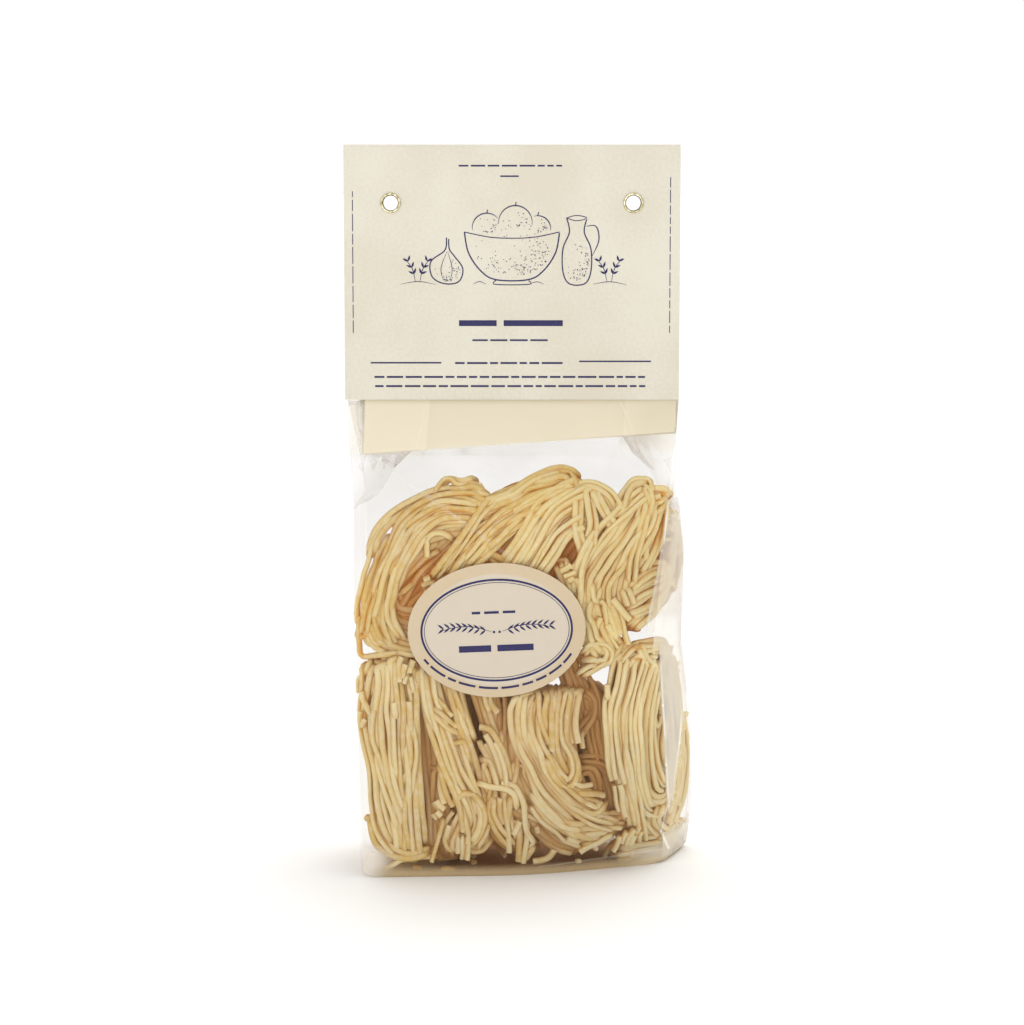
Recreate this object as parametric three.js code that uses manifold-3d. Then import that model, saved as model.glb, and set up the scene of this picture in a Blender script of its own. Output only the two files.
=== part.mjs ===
// A clear, flat-bottomed bag of dry pasta nests, closed by a folded card header.
//
// The block-bottom film bag stands on its base. It is a box up to its shoulder, where the two side
// gussets fold in and the front and back run together like a gable, and it ends in a flat mouth.
// A card is folded over that mouth, longer at the back than at the front, and two eyelets are
// riveted through card and film. An oval sticker lies on the front of the film.
//
// Units are millimetres. +X is to the right, -Y is the front, +Z is up, and the origin is on the
// floor below the middle of the pack.

import * as THREE from "three";
import { mergeVertices } from "three/addons/utils/BufferGeometryUtils.js";
import Module from "manifold-3d";

const wasm = await Module();
wasm.setup();

// ---- Driving dimensions -------------------------------------------------------------------------

const PACK_HEIGHT = 260;

const CARD_WIDTH = 120;
const CARD_THICKNESS = 0.5;
const FRONT_PANEL = 91; // from the fold down to the front panel's lower edge
const BACK_PANEL_RIGHT = 104.5; // the back panel is cut askew, so it is longer on the left
const BACK_PANEL_LEFT = 112;
const BACK_PANEL_INSET = 6.5; // how far its left edge has moved in at the bottom

const FILM_GAP = 0.3; // clearance between pieces that touch
const MOUTH_THICKNESS = 0.6; // the flattened film between the card's panels
const MOUTH_HALF_WIDTH = 59;

// The bag's corners in plan at a few heights. Its front bends at bend, because the right front
// corner is pushed back, most of all at the base. The nests push the right side out in two bellies,
// with a waist between the rows.
const SECTIONS = [
  { z: 0, fl: [-54.3, -28.7], bend: [6, -25.5], fr: [56, -7], br: [67.5, 24], bl: [-51, 29] },
  { z: 20, fl: [-55, -28.5], bend: [14, -27.5], fr: [55.5, -15], br: [69.3, 23], bl: [-52, 28.5] },
  { z: 48, fl: [-55.8, -28.5], bend: [22, -28], fr: [54.5, -18], br: [69, 21], bl: [-53, 28.5] },
  { z: 80, fl: [-56.4, -28.2], bend: [28, -28], fr: [51, -21.5], br: [64.5, 20], bl: [-54.5, 28.2] },
  { z: 112, fl: [-57, -27.8], bend: [31, -27.8], fr: [54.5, -22.5], br: [65.5, 21], bl: [-55.6, 27.8] },
  { z: 131, fl: [-57, -27.6], bend: [32, -27.6], fr: [56, -23], br: [62.5, 21], bl: [-56, 27.6] },
  { z: 144, fl: [-57.6, -23], bend: [32, -23], fr: [57.4, -20], br: [61.5, 20], bl: [-56.6, 24] },
];
const SHOULDER_Z = 131; // where the sides start to fold in
const CORNER_RADIUS = { fl: 5, bend: 16, fr: 7, br: 10, bl: 7 };
const BASE_EDGE = 2; // the base's rounded edge: this high, and the base this much smaller
const BASE_SHRINK = 0.965;

const LABEL = { width: 63, height: 48, thickness: 0.4, x: -5.4, z: 89.6, tilt: 2.2 };

const EYELET = { x: 43.3, z: 239.3, hole: 2.65, barrel: 2.9, flange: 3.6, flangeThickness: 0.5 };

// How the nests inside press on the film: a row stands along the base, and a second lies on it.
const LOWER_NESTS = [-41, -20, 0, 20, 46];
const UPPER_NESTS = [-36, -8, 20, 44];
const NEST_HALF_WIDTH = 11;
const NEST_BULGE = 1.2;
const ROW_WAIST_Z = 80; // the film is slack between the two rows
const ROW_WAIST = 1.2;

// ---- Worked out from them -----------------------------------------------------------------------

const MOUTH_HALF = MOUTH_THICKNESS / 2;
const CARD_INNER = MOUTH_HALF + FILM_GAP; // half the gap between the card's panels
const CARD_OUTER = CARD_INNER + CARD_THICKNESS;
const FOLD_Z = PACK_HEIGHT - CARD_OUTER; // centre of the round fold
const FRONT_EDGE_Z = PACK_HEIGHT - FRONT_PANEL;
const MOUTH_Z = FRONT_EDGE_Z - FILM_GAP; // where the front and the back of the bag meet
const GABLE = SECTIONS.at(-1); // from here, front and back run straight to the mouth
const MOUTH = {
  z: MOUTH_Z,
  fl: [-MOUTH_HALF_WIDTH, -MOUTH_HALF],
  bend: [GABLE.bend[0], -MOUTH_HALF],
  fr: [MOUTH_HALF_WIDTH, -MOUTH_HALF],
  br: [MOUTH_HALF_WIDTH, MOUTH_HALF],
  bl: [-MOUTH_HALF_WIDTH, MOUTH_HALF],
};

const CARD = { color: 0xe7dfcb, roughness: 0.75, metalness: 0 };
const FILM = { color: 0xf2ead8, roughness: 0.15, metalness: 0, transparent: true, opacity: 0.6 };
const STICKER = { color: 0xe5d8c1, roughness: 0.5, metalness: 0 };
const NICKEL = { color: 0xc9c0ae, roughness: 0.3, metalness: 0.9 };

// ---- Solids -------------------------------------------------------------------------------------

/** A manifold-3d solid of a closed three.js geometry. */
function solidOf(geometry) {
  const bare = geometry.clone();
  bare.deleteAttribute("normal");
  bare.deleteAttribute("uv");
  const merged = mergeVertices(bare, 1e-4);
  return new wasm.Manifold(
    new wasm.Mesh({
      numProp: 3,
      vertProperties: merged.attributes.position.array,
      triVerts: new Uint32Array(merged.index.array),
    }),
  );
}

/** A three.js geometry of a manifold-3d solid. */
function geometryOf(solid) {
  const mesh = solid.getMesh();
  const geometry = new THREE.BufferGeometry();
  geometry.setAttribute("position", new THREE.BufferAttribute(mesh.vertProperties, 3));
  geometry.setIndex(new THREE.BufferAttribute(mesh.triVerts, 1));
  geometry.computeVertexNormals();
  return geometry;
}

/** The geometry of a closed surface, from its corner points and triangles. */
function surface(points, triangles) {
  const geometry = new THREE.BufferGeometry().setFromPoints(points);
  geometry.setIndex(triangles.flat());
  geometry.computeVertexNormals();
  return geometry;
}

/** Round cutters, one for each eyelet, that go through card and film. */
function eyeletCutters() {
  const radius = EYELET.barrel + FILM_GAP;
  return [-1, 1].map((side) =>
    solidOf(new THREE.CylinderGeometry(radius, radius, 20, 24).translate(side * EYELET.x, 0, EYELET.z)),
  );
}

function named(name, geometry, look) {
  const mesh = new THREE.Mesh(geometry, new THREE.MeshStandardMaterial(look));
  mesh.name = name;
  return mesh;
}

// ---- The bag ------------------------------------------------------------------------------------

const smooth = THREE.MathUtils.smoothstep;
const lerp = THREE.MathUtils.lerp;

/** The bag's corners in plan at height z, between the sections above and below it. */
function cornersAt(z) {
  const sections = [...SECTIONS, MOUTH];
  const above = Math.max(1, sections.findIndex((section) => section.z >= z));
  const [low, high] = z >= MOUTH_Z ? [MOUTH, MOUTH] : [sections[above - 1], sections[above]];
  const share = low === high ? 0 : (z - low.z) / (high.z - low.z);
  const corner = (name) => new THREE.Vector2(...low[name]).lerp(new THREE.Vector2(...high[name]), share);
  return { fl: corner("fl"), bend: corner("bend"), fr: corner("fr"), br: corner("br"), bl: corner("bl") };
}

/** The middle of a gusset. Above the shoulder it folds in, because its two panels keep their width. */
function gussetMiddle(front, back, panel, z, inward) {
  const middle = front.clone().lerp(back, 0.5);
  if (z <= SHOULDER_Z || z >= MOUTH_Z) return middle;
  const half = front.distanceTo(back) / 2;
  middle.x += inward * Math.sqrt(Math.max(0, panel ** 2 - half ** 2));
  return middle;
}

/** How far a nest under the film pushes it out, at a place across the face and a height. */
function nestBulge(x, z) {
  const row = z < ROW_WAIST_Z ? LOWER_NESTS : UPPER_NESTS;
  const nearest = Math.min(...row.map((centre) => Math.abs(x - centre)));
  const across = Math.cos(Math.min(1, nearest / NEST_HALF_WIDTH) * (Math.PI / 2));
  const along = smooth(Math.abs(z - ROW_WAIST_Z), 0, 16);
  const ends = smooth(z, 2, 14) * (1 - smooth(z, SHOULDER_Z - 18, SHOULDER_Z + 6));
  return ends * (NEST_BULGE * across * along - ROW_WAIST * (1 - along));
}

/** 0 under the sticker, which keeps the film flat, rising to 1 around it. */
function clearOfLabel(x, z) {
  const off = Math.hypot((x - LABEL.x) / (LABEL.width / 2), (z - LABEL.z) / (LABEL.height / 2));
  return smooth(off, 1.05, 1.45);
}

/** Points along a straight edge from a to b, without b. */
function alongEdge(a, b, steps) {
  return Array.from({ length: steps }, (_, i) => a.clone().lerp(b, i / steps));
}

/** A rounded corner: where it leaves the edge from before, its points, and where it joins the next. */
function roundedCorner(before, corner, after, radius, steps) {
  const start = corner.clone().add(before.clone().sub(corner).setLength(radius));
  const end = corner.clone().add(after.clone().sub(corner).setLength(radius));
  const points = new THREE.QuadraticBezierCurve(start, corner, end).getPoints(steps);
  return { start, end, points: points.slice(0, -1) };
}

const CORNER_STEPS = 4;
const FRONT_STEPS = [16, 6]; // left of the bend, and right of it
const BACK_STEPS = 20;
const GUSSET_STEPS = 4;
const FRONT_POINTS = FRONT_STEPS[0] + CORNER_STEPS + FRONT_STEPS[1];

/** The bag's outline at height z, anticlockwise from above, starting at the front's left end. */
function outline(z) {
  const { fl, bend, fr, br, bl } = cornersAt(z);
  const shoulder = cornersAt(SHOULDER_Z);
  const right = gussetMiddle(fr, br, shoulder.fr.distanceTo(shoulder.br) / 2, z, -1);
  const left = gussetMiddle(fl, bl, shoulder.fl.distanceTo(shoulder.bl) / 2, z, 1);
  const crispness = THREE.MathUtils.clamp((z - SHOULDER_Z) / (MOUTH_Z - SHOULDER_Z), 0, 1);
  const round = (before, corner, after, name) => {
    const radius = Math.max(CORNER_RADIUS[name] * (1 - crispness) ** 2, MOUTH_HALF / 3);
    return roundedCorner(before, corner, after, radius, CORNER_STEPS);
  };
  const corners = {
    fl: round(left, fl, bend, "fl"),
    bend: round(fl, bend, fr, "bend"),
    fr: round(bend, fr, right, "fr"),
    br: round(right, br, bl, "br"),
    bl: round(br, bl, left, "bl"),
  };
  const pushedOut = (points, sign) =>
    points.map((p) => {
      const free = sign < 0 ? clearOfLabel(p.x, z) : 1;
      return new THREE.Vector2(p.x, p.y + sign * free * nestBulge(p.x, z));
    });
  const front = [
    ...alongEdge(corners.fl.end, corners.bend.start, FRONT_STEPS[0]),
    ...corners.bend.points,
    ...alongEdge(corners.bend.end, corners.fr.start, FRONT_STEPS[1]),
  ];
  return [
    ...pushedOut(front, -1),
    ...corners.fr.points,
    ...alongEdge(corners.fr.end, right, GUSSET_STEPS),
    ...alongEdge(right, corners.br.start, GUSSET_STEPS),
    ...corners.br.points,
    ...pushedOut(alongEdge(corners.br.end, corners.bl.start, BACK_STEPS), 1),
    ...corners.bl.points,
    ...alongEdge(corners.bl.end, left, GUSSET_STEPS),
    ...alongEdge(left, corners.fl.start, GUSSET_STEPS),
    ...corners.fl.points,
  ];
}

/** The outline at height z as points in space, made smaller about the middle by a scale. */
function ring(z, scale = 1) {
  return outline(z).map((p) => new THREE.Vector3(p.x * scale, p.y * scale, z));
}

/** Triangles between two rings of the same count, the second above the first. */
function wall(lower, upper, count) {
  return Array.from({ length: count }, (_, i) => {
    const next = (i + 1) % count;
    return [
      [lower + i, lower + next, upper + next],
      [lower + i, upper + next, upper + i],
    ];
  }).flat();
}

/** The bag's closed skin: rings from the base to the mouth, and a fan over each end. */
function bagSkin() {
  const evenly = (from, to, steps) => Array.from({ length: steps }, (_, i) => lerp(from, to, i / steps));
  const gable = [0, 0.03, 0.08, 0.15, 0.24, 0.345, 0.5, 0.65, 0.8, 0.93];
  const base = ring(BASE_EDGE, BASE_SHRINK).map((p) => p.setZ(0));
  const rings = [
    base,
    ring(BASE_EDGE / 3, (1 + BASE_SHRINK) / 2),
    ...evenly(BASE_EDGE, SHOULDER_Z, 24).map((z) => ring(z)),
    ...gable.map((up) => ring(lerp(SHOULDER_Z, MOUTH_Z, up))),
    ring(MOUTH_Z),
    ring(MOUTH_Z).map((p) => p.setZ(FOLD_Z)),
  ];
  const count = base.length;
  const points = rings.flat();
  const bottom = points.push(new THREE.Vector3(0, 0, 0)) - 1;
  const top = points.push(new THREE.Vector3(0, 0, FOLD_Z)) - 1;
  const last = (rings.length - 1) * count;
  const triangles = [
    ...Array.from({ length: count }, (_, i) => [bottom, (i + 1) % count, i]),
    ...rings.slice(1).flatMap((_, level) => wall(level * count, (level + 1) * count, count)),
    ...Array.from({ length: count }, (_, i) => [top, last + i, last + ((i + 1) % count)]),
  ];
  return surface(points, triangles);
}

function bag() {
  const skin = solidOf(bagSkin());
  return named("bag", geometryOf(eyeletCutters().reduce((left, hole) => left.subtract(hole), skin)), FILM);
}

// ---- The card header ----------------------------------------------------------------------------

/** The folded card's section in Y and Z, closed: down the front, and along the back's bent panel. */
function cardSection() {
  const slope = Math.atan2(GABLE.bl[1] - MOUTH_HALF, MOUTH_Z - GABLE.z); // from the vertical
  const tail = PACK_HEIGHT - BACK_PANEL_LEFT;
  const offset = (distance, z) => distance / Math.cos(slope) + (MOUTH_Z - z) * Math.tan(slope);
  const kink = (distance) => MOUTH_Z + distance * Math.tan(slope / 2);
  const inner = (z) => offset(CARD_INNER, z);
  const outer = (z) => offset(CARD_OUTER, z);
  const shape = new THREE.Shape();
  shape.moveTo(-CARD_OUTER, FRONT_EDGE_Z);
  shape.lineTo(-CARD_INNER, FRONT_EDGE_Z);
  shape.lineTo(-CARD_INNER, FOLD_Z);
  shape.absarc(0, FOLD_Z, CARD_INNER, Math.PI, 0, true);
  shape.lineTo(CARD_INNER, kink(CARD_INNER));
  shape.lineTo(inner(tail), tail);
  shape.lineTo(outer(tail), tail);
  shape.lineTo(CARD_OUTER, kink(CARD_OUTER));
  shape.lineTo(CARD_OUTER, FOLD_Z);
  shape.absarc(0, FOLD_Z, CARD_OUTER, 0, Math.PI, false);
  return shape;
}

/** The waste that leaves the back panel askew: a strip off its left edge, and a wedge off its end. */
function backPanelWaste() {
  const halfWidthOfCard = CARD_WIDTH / 2;
  const strip = new THREE.Shape([
    new THREE.Vector2(-halfWidthOfCard - 1, PACK_HEIGHT - 2),
    new THREE.Vector2(-halfWidthOfCard - 1, PACK_HEIGHT - BACK_PANEL_LEFT - 1),
    new THREE.Vector2(-halfWidthOfCard + BACK_PANEL_INSET, PACK_HEIGHT - BACK_PANEL_LEFT - 1),
    new THREE.Vector2(-halfWidthOfCard, PACK_HEIGHT - 2),
  ]);
  const wedge = new THREE.Shape([
    new THREE.Vector2(-halfWidthOfCard - 1, PACK_HEIGHT - BACK_PANEL_LEFT - 1),
    new THREE.Vector2(halfWidthOfCard + 1, PACK_HEIGHT - BACK_PANEL_LEFT - 1),
    new THREE.Vector2(halfWidthOfCard + 1, PACK_HEIGHT - BACK_PANEL_RIGHT),
    new THREE.Vector2(-halfWidthOfCard - 1, PACK_HEIGHT - BACK_PANEL_LEFT),
  ]);
  return [strip, wedge].map((shape) => {
    const block = new THREE.ExtrudeGeometry(shape, { depth: 40, bevelEnabled: false });
    return solidOf(block.rotateX(Math.PI / 2).translate(0, 40 + MOUTH_HALF, 0));
  });
}

function headerCard() {
  const folded = new THREE.ExtrudeGeometry(cardSection(), {
    depth: CARD_WIDTH,
    bevelEnabled: false,
    curveSegments: 10,
  });
  // The section's first axis becomes +Y, its second +Z, and it is drawn out along +X.
  const turned = new THREE.Matrix4().makeBasis(
    new THREE.Vector3(0, 1, 0),
    new THREE.Vector3(0, 0, 1),
    new THREE.Vector3(1, 0, 0),
  );
  folded.applyMatrix4(turned).translate(-CARD_WIDTH / 2, 0, 0);
  const cutters = [...backPanelWaste(), ...eyeletCutters()];
  const solid = cutters.reduce((left, cut) => left.subtract(cut), solidOf(folded));
  return named("header_card", geometryOf(solid), CARD);
}

// ---- Eyelets and sticker ------------------------------------------------------------------------

/** One riveted eyelet: a barrel through the header, with a rolled rim at the front and the back. */
function eyelet(name, x) {
  const seat = CARD_OUTER + FILM_GAP;
  const roll = (EYELET.flange - EYELET.hole) / 2;
  const rollSteps = 8;
  const rim = Array.from({ length: rollSteps + 1 }, (_, i) => {
    const angle = (i / rollSteps) * Math.PI;
    const radius = EYELET.hole + roll - roll * Math.cos(angle);
    return new THREE.Vector2(radius, seat + EYELET.flangeThickness * Math.sin(angle));
  });
  const front = [...rim, new THREE.Vector2(EYELET.barrel, seat)];
  const back = [...front].reverse().map((p) => new THREE.Vector2(p.x, -p.y));
  const profile = [...front, ...back, front[0]];
  const mesh = named(name, new THREE.LatheGeometry(profile.reverse(), 28), NICKEL);
  mesh.position.set(x, 0, EYELET.z);
  return mesh;
}

/** The film's front surface at a place across and a height, under the sticker. */
function frontY(x, z) {
  const front = outline(z).slice(0, FRONT_POINTS);
  const right = front.findIndex((p) => p.x > x);
  const [a, b] = [front[right - 1], front[right]];
  return lerp(a.y, b.y, (x - a.x) / (b.x - a.x));
}

/** The oval sticker: a thin skin that follows the film at a small distance. */
function sticker() {
  const rings = 5;
  const around = 48;
  const tilt = THREE.MathUtils.degToRad(LABEL.tilt);
  const place = (share, angle, lift) => {
    const flat = new THREE.Vector2(
      (share * LABEL.width * Math.cos(angle)) / 2,
      (share * LABEL.height * Math.sin(angle)) / 2,
    ).rotateAround(new THREE.Vector2(0, 0), tilt);
    const x = LABEL.x + flat.x;
    const z = LABEL.z + flat.y;
    return new THREE.Vector3(x, frontY(x, z) - lift, z);
  };
  const layer = (lift) => [
    ...Array.from({ length: rings }, (_, r) =>
      Array.from({ length: around }, (_, i) => place((r + 1) / rings, (i / around) * 2 * Math.PI, lift)),
    ).flat(),
    place(0, 0, lift),
  ];
  const points = [...layer(FILM_GAP), ...layer(FILM_GAP + LABEL.thickness)];
  const perLayer = rings * around + 1;
  const face = (start) => {
    const hub = start + perLayer - 1;
    const fan = Array.from({ length: around }, (_, i) => [hub, start + i, start + ((i + 1) % around)]);
    const bands = Array.from({ length: rings - 1 }, (_, r) =>
      wall(start + (r + 1) * around, start + r * around, around),
    ).flat();
    return [...fan, ...bands];
  };
  const edge = (rings - 1) * around;
  const triangles = [
    ...face(0).map(([a, b, c]) => [a, c, b]),
    ...face(perLayer),
    ...wall(edge, perLayer + edge, around),
  ];
  return named("oval_sticker", surface(points, triangles), STICKER);
}

// ---- The pack -----------------------------------------------------------------------------------

const pack = new THREE.Group();
pack.add(
  bag(),
  headerCard(),
  eyelet("eyelet_left", -EYELET.x),
  eyelet("eyelet_right", EYELET.x),
  sticker(),
);

export default pack;
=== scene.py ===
"""A clear, flat-bottomed bag of dry pasta nests under a folded card header.

The card, its eyelets and the oval sticker are the frame's own nodes with new finishes. The frame's
solid bag is replaced by a clear film of the same form, by the nests that stand and lie inside it,
and by the broken ends on its floor. Lengths are in millimetres until a mesh is made.
"""

import logging
import math
import random
from dataclasses import dataclass, field
from enum import Enum
from functools import cache
from typing import Iterable, Iterator, Sequence

import bmesh
import bpy
from mathutils import Matrix, Vector, noise
from mathutils.bvhtree import BVHTree
from mathutils.kdtree import KDTree

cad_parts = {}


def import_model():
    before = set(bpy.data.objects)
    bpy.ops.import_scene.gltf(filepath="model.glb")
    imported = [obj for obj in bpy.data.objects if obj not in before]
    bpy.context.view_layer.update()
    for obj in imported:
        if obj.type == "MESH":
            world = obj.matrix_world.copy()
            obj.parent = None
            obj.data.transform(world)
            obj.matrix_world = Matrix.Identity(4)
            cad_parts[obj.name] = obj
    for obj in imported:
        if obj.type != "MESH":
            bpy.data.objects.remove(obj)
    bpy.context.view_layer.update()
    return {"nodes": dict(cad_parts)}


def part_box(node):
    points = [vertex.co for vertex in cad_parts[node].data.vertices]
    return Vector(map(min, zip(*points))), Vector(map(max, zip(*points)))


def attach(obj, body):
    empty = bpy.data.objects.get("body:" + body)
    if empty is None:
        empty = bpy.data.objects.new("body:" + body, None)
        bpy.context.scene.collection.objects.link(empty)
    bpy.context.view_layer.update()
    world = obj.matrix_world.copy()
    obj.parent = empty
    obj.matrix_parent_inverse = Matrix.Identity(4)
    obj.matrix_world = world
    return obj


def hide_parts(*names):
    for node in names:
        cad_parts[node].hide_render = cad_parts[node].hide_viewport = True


log = logging.getLogger("pasta_bag")

MM = 0.001
ROOT = "root"
IN_FRONT = -200.0  # a Y that is well in front of the pack
FINE = 12  # into how many steps a curve's stretch is cut before its points are spaced evenly
GIRTHS = (0.86, 1.1)  # the thinnest and the thickest strand, against the ribbon
LEAST_WIDE = 0.1  # below this a strand runs along its own axis and takes any other one
OUTWARD = Vector((0, -1, 0))  # from the pack's front to the camera
STICKER_HALF = (31.5, 24.0)
STICKER_TILT = 2.2
FIBRE_SHARE = 0.35  # how much of a paper's tone its fibres make; its clouds make the rest

Pair = tuple[float, float]
Place = tuple[float, float, float]
Colour = tuple[float, float, float, float]
Node = bpy.types.Node
Socket = bpy.types.NodeSocket
Material = bpy.types.Material
Piece = bpy.types.Object


def srgb(red: int, green: int, blue: int) -> Colour:
    """The scene-linear values of a colour that is given in display values from 0 to 255."""
    linear = [c / 12.92 if c <= 0.04045 else ((c + 0.055) / 1.055) ** 2.4
              for c in (v / 255 for v in (red, green, blue))]
    return (*linear, 1.0)


def smoothstep(value: float, low: float, high: float) -> float:
    """An eased step from 0 where a value is at low to 1 where it is at high."""
    share = min(1.0, max(0.0, (value - low) / (high - low)))
    return share * share * (3 - 2 * share)


# ---- Shader building --------------------------------------------------------------------------


class NodeTree:
    """Short calls for laying out the nodes of a material or a node group."""

    def __init__(self, tree: bpy.types.NodeTree) -> None:
        """Wrap the tree of a material or a group."""
        self.tree = tree

    def node(self, kind: str, **settings: object) -> Node:
        """Add a node.

        Args:
            kind: The node's type, without its ShaderNode prefix.
            settings: Attributes to set on the node.

        Returns:
            The new node.
        """
        made = self.tree.nodes.new(f"ShaderNode{kind}")
        for name, value in settings.items():
            setattr(made, name, value)
        return made

    def feed(self, node: Node, **inputs: object) -> Node:
        """Set a node's inputs by name, from numbers, colours or other nodes' outputs.

        Args:
            node: The node whose inputs are set.
            inputs: Socket names, with underscores for spaces, and what goes into them.

        Returns:
            The same node.
        """
        for name, value in inputs.items():
            self.join(value, next(s for s in node.inputs if s.enabled and s.name == name.replace("_", " ")))
        return node

    def join(self, value: object, socket: Socket) -> None:
        """Lead another node's output to a socket, or set the socket to a value."""
        if isinstance(value, Socket):
            self.tree.links.new(value, socket)
        else:
            socket.default_value = value

    def step(self, kind: str, result: str, values: Sequence[object], **settings: object) -> Socket:
        """Add a node that works something out from a few values.

        Args:
            kind: The node's type, without its ShaderNode prefix.
            result: Which of its outputs is wanted.
            values: Numbers or sockets for its first inputs.
            settings: Attributes to set on the node.

        Returns:
            The result's socket.
        """
        made = self.node(kind, **settings)
        for socket, value in zip(made.inputs, values):
            self.join(value, socket)
        return made.outputs[result]

    def object_point(self) -> Socket:
        """The shaded point in the piece's own coordinates, in metres."""
        return self.node("TexCoord").outputs["Object"]

    def noise(self, point: Socket, scale: float, detail: float = 3.0,
              stretch: Sequence[float] = (1.0, 1.0, 1.0)) -> Socket:
        """Soft noise over the piece.

        Args:
            point: The coordinates.
            scale: Waves in a metre.
            detail: How many finer layers it has.
            stretch: Scale factors along the three axes.

        Returns:
            The noise's value, around one half.
        """
        mapping = self.feed(self.node("Mapping"), Vector=point, Scale=tuple(stretch))
        made = self.feed(self.node("TexNoise"), Vector=mapping.outputs["Vector"], Scale=scale, Detail=detail)
        return made.outputs["Fac"]

    def math(self, operation: str, first: object, second: object = 0.0, clamp: bool = False) -> Socket:
        """One step of arithmetic on numbers or sockets, held between 0 and 1 if it is clamped."""
        return self.step("Math", "Value", (first, second), operation=operation, use_clamp=clamp)

    def times(self, first: object, second: object) -> Socket:
        """The product of two numbers or sockets."""
        return self.math("MULTIPLY", first, second)

    def plus(self, first: object, second: object, clamp: bool = False) -> Socket:
        """The sum of two numbers or sockets."""
        return self.math("ADD", first, second, clamp)

    def minus(self, first: object, second: object, clamp: bool = False) -> Socket:
        """The difference of two numbers or sockets."""
        return self.math("SUBTRACT", first, second, clamp)

    def vector(self, operation: str, first: object, second: object, result: str = "Vector") -> Socket:
        """One step of vector arithmetic on vectors or sockets."""
        return self.step("VectorMath", result, (first, second), operation=operation)

    def between(self, value: Socket, from_low: float, from_high: float, to_low: float, to_high: float
                ) -> Socket:
        """Carry a value from one range to another, eased, and held at its ends.

        Args:
            value: The value.
            from_low, from_high: The range it comes in.
            to_low, to_high: The range it goes to.

        Returns:
            The new value's socket.
        """
        made = self.node("MapRange", interpolation_type="SMOOTHSTEP")
        self.feed(made, Value=value, From_Min=from_low, From_Max=from_high, To_Min=to_low, To_Max=to_high)
        return made.outputs["Result"]

    def ramp(self, length: Socket, limits: Pair, low: float = 0.0, high: float = 1.0) -> Socket:
        """Carry a length from between two limits in millimetres to another range."""
        return self.between(length, limits[0] * MM, limits[1] * MM, low, high)

    def blend(self, factor: Socket, first: object, second: object, kind: str = "MIX") -> Socket:
        """Mix two colours, with as much of the second as the factor says."""
        made = self.node("Mix", data_type="RGBA", blend_type=kind)
        return self.feed(made, Factor=factor, A=first, B=second).outputs[2]


class Finish:
    """The base of every finish: it starts a material and joins a few nodes to its shader."""

    def start(self, name: str, **shader: object) -> tuple[Material, NodeTree, Node]:
        """Start a material.

        Args:
            name: The material's name.
            shader: Values for the Principled shader's own sockets.

        Returns:
            The material, its tree and its Principled shader.
        """
        material = bpy.data.materials.new(name)
        material.use_nodes = True
        nodes = NodeTree(material.node_tree)
        principled = material.node_tree.nodes["Principled BSDF"]
        nodes.feed(principled, **shader)
        return material, nodes, principled

    def bump(self, nodes: NodeTree, principled: Node, height: Socket, strength: float, depth: float) -> None:
        """Join a height from 0 to 1 to the shader's normal, with how deep 1 is in millimetres."""
        bump = nodes.feed(nodes.node("Bump"), Height=height, Strength=strength, Distance=depth * MM)
        nodes.feed(principled, Normal=bump.outputs["Normal"])


def start_group(name: str, vectors: Sequence[str], floats: Sequence[str], results: Sequence[str]
                ) -> tuple[NodeTree, Node, Node]:
    """Start a node group.

    Args:
        name: The group's name.
        vectors, floats: The names of its inputs, by their kind.
        results: The names of its outputs, which are all floats.

    Returns:
        Its tree, the node of its inputs and the node of its outputs.
    """
    group = bpy.data.node_groups.new(name, "ShaderNodeTree")
    for names, way, kind in ((vectors, "INPUT", "Vector"), (floats, "INPUT", "Float"),
                             (results, "OUTPUT", "Float")):
        for socket in names:
            group.interface.new_socket(socket, in_out=way, socket_type=f"NodeSocket{kind}")
    return NodeTree(group), group.nodes.new("NodeGroupInput"), group.nodes.new("NodeGroupOutput")


@cache
def paper_fibre_group() -> bpy.types.NodeTree:
    """The fibres and soft clouds of uncoated paper, as a node group.

    Returns:
        A group with Fibre Scale and Cloud Scale in, and Tone and Height out.
    """
    nodes, given, out = start_group("paper_fibre", (), ("Fibre Scale", "Cloud Scale"), ("Tone", "Height"))
    point = nodes.object_point()
    fibres = nodes.feed(nodes.node("TexNoise"), Vector=point, Scale=given.outputs["Fibre Scale"], Detail=6.0)
    clouds = nodes.feed(nodes.node("TexNoise"), Vector=point, Scale=given.outputs["Cloud Scale"], Detail=2.0)
    tone = nodes.plus(nodes.times(fibres.outputs["Fac"], FIBRE_SHARE),
                      nodes.times(clouds.outputs["Fac"], 1 - FIBRE_SHARE))
    nodes.feed(out, Tone=tone, Height=fibres.outputs["Fac"])
    return nodes.tree


@dataclass(frozen=True)
class CardFinish(Finish):
    """Uncoated cream card with faint fibres and soft clouds."""

    light: Colour = srgb(216, 211, 196)
    dark: Colour = srgb(208, 201, 183)

    FIBRES = 900.0  # waves in a metre, as in every noise
    CLOUDS = 26.0
    TONED = (0.38, 0.62)  # the tones of the paper that are darkest and lightest
    ROUGH_TONES = (0.35, 0.65)
    ROUGH = (0.64, 0.78)
    RELIEF = (0.25, 0.05)  # how strongly its fibres show, and how deep they are

    def build(self) -> Material:
        """Make the material."""
        material, nodes, shader = self.start("cream_card")
        fibre = nodes.node("Group", node_tree=paper_fibre_group())
        nodes.feed(fibre, Fibre_Scale=self.FIBRES, Cloud_Scale=self.CLOUDS)
        tone = nodes.between(fibre.outputs["Tone"], *self.TONED, 0.0, 1.0)
        nodes.feed(shader, Base_Color=nodes.blend(tone, self.dark, self.light))
        nodes.feed(shader, Roughness=nodes.between(fibre.outputs["Tone"], *self.ROUGH_TONES, *self.ROUGH))
        self.bump(nodes, shader, fibre.outputs["Height"], *self.RELIEF)
        return material


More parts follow.
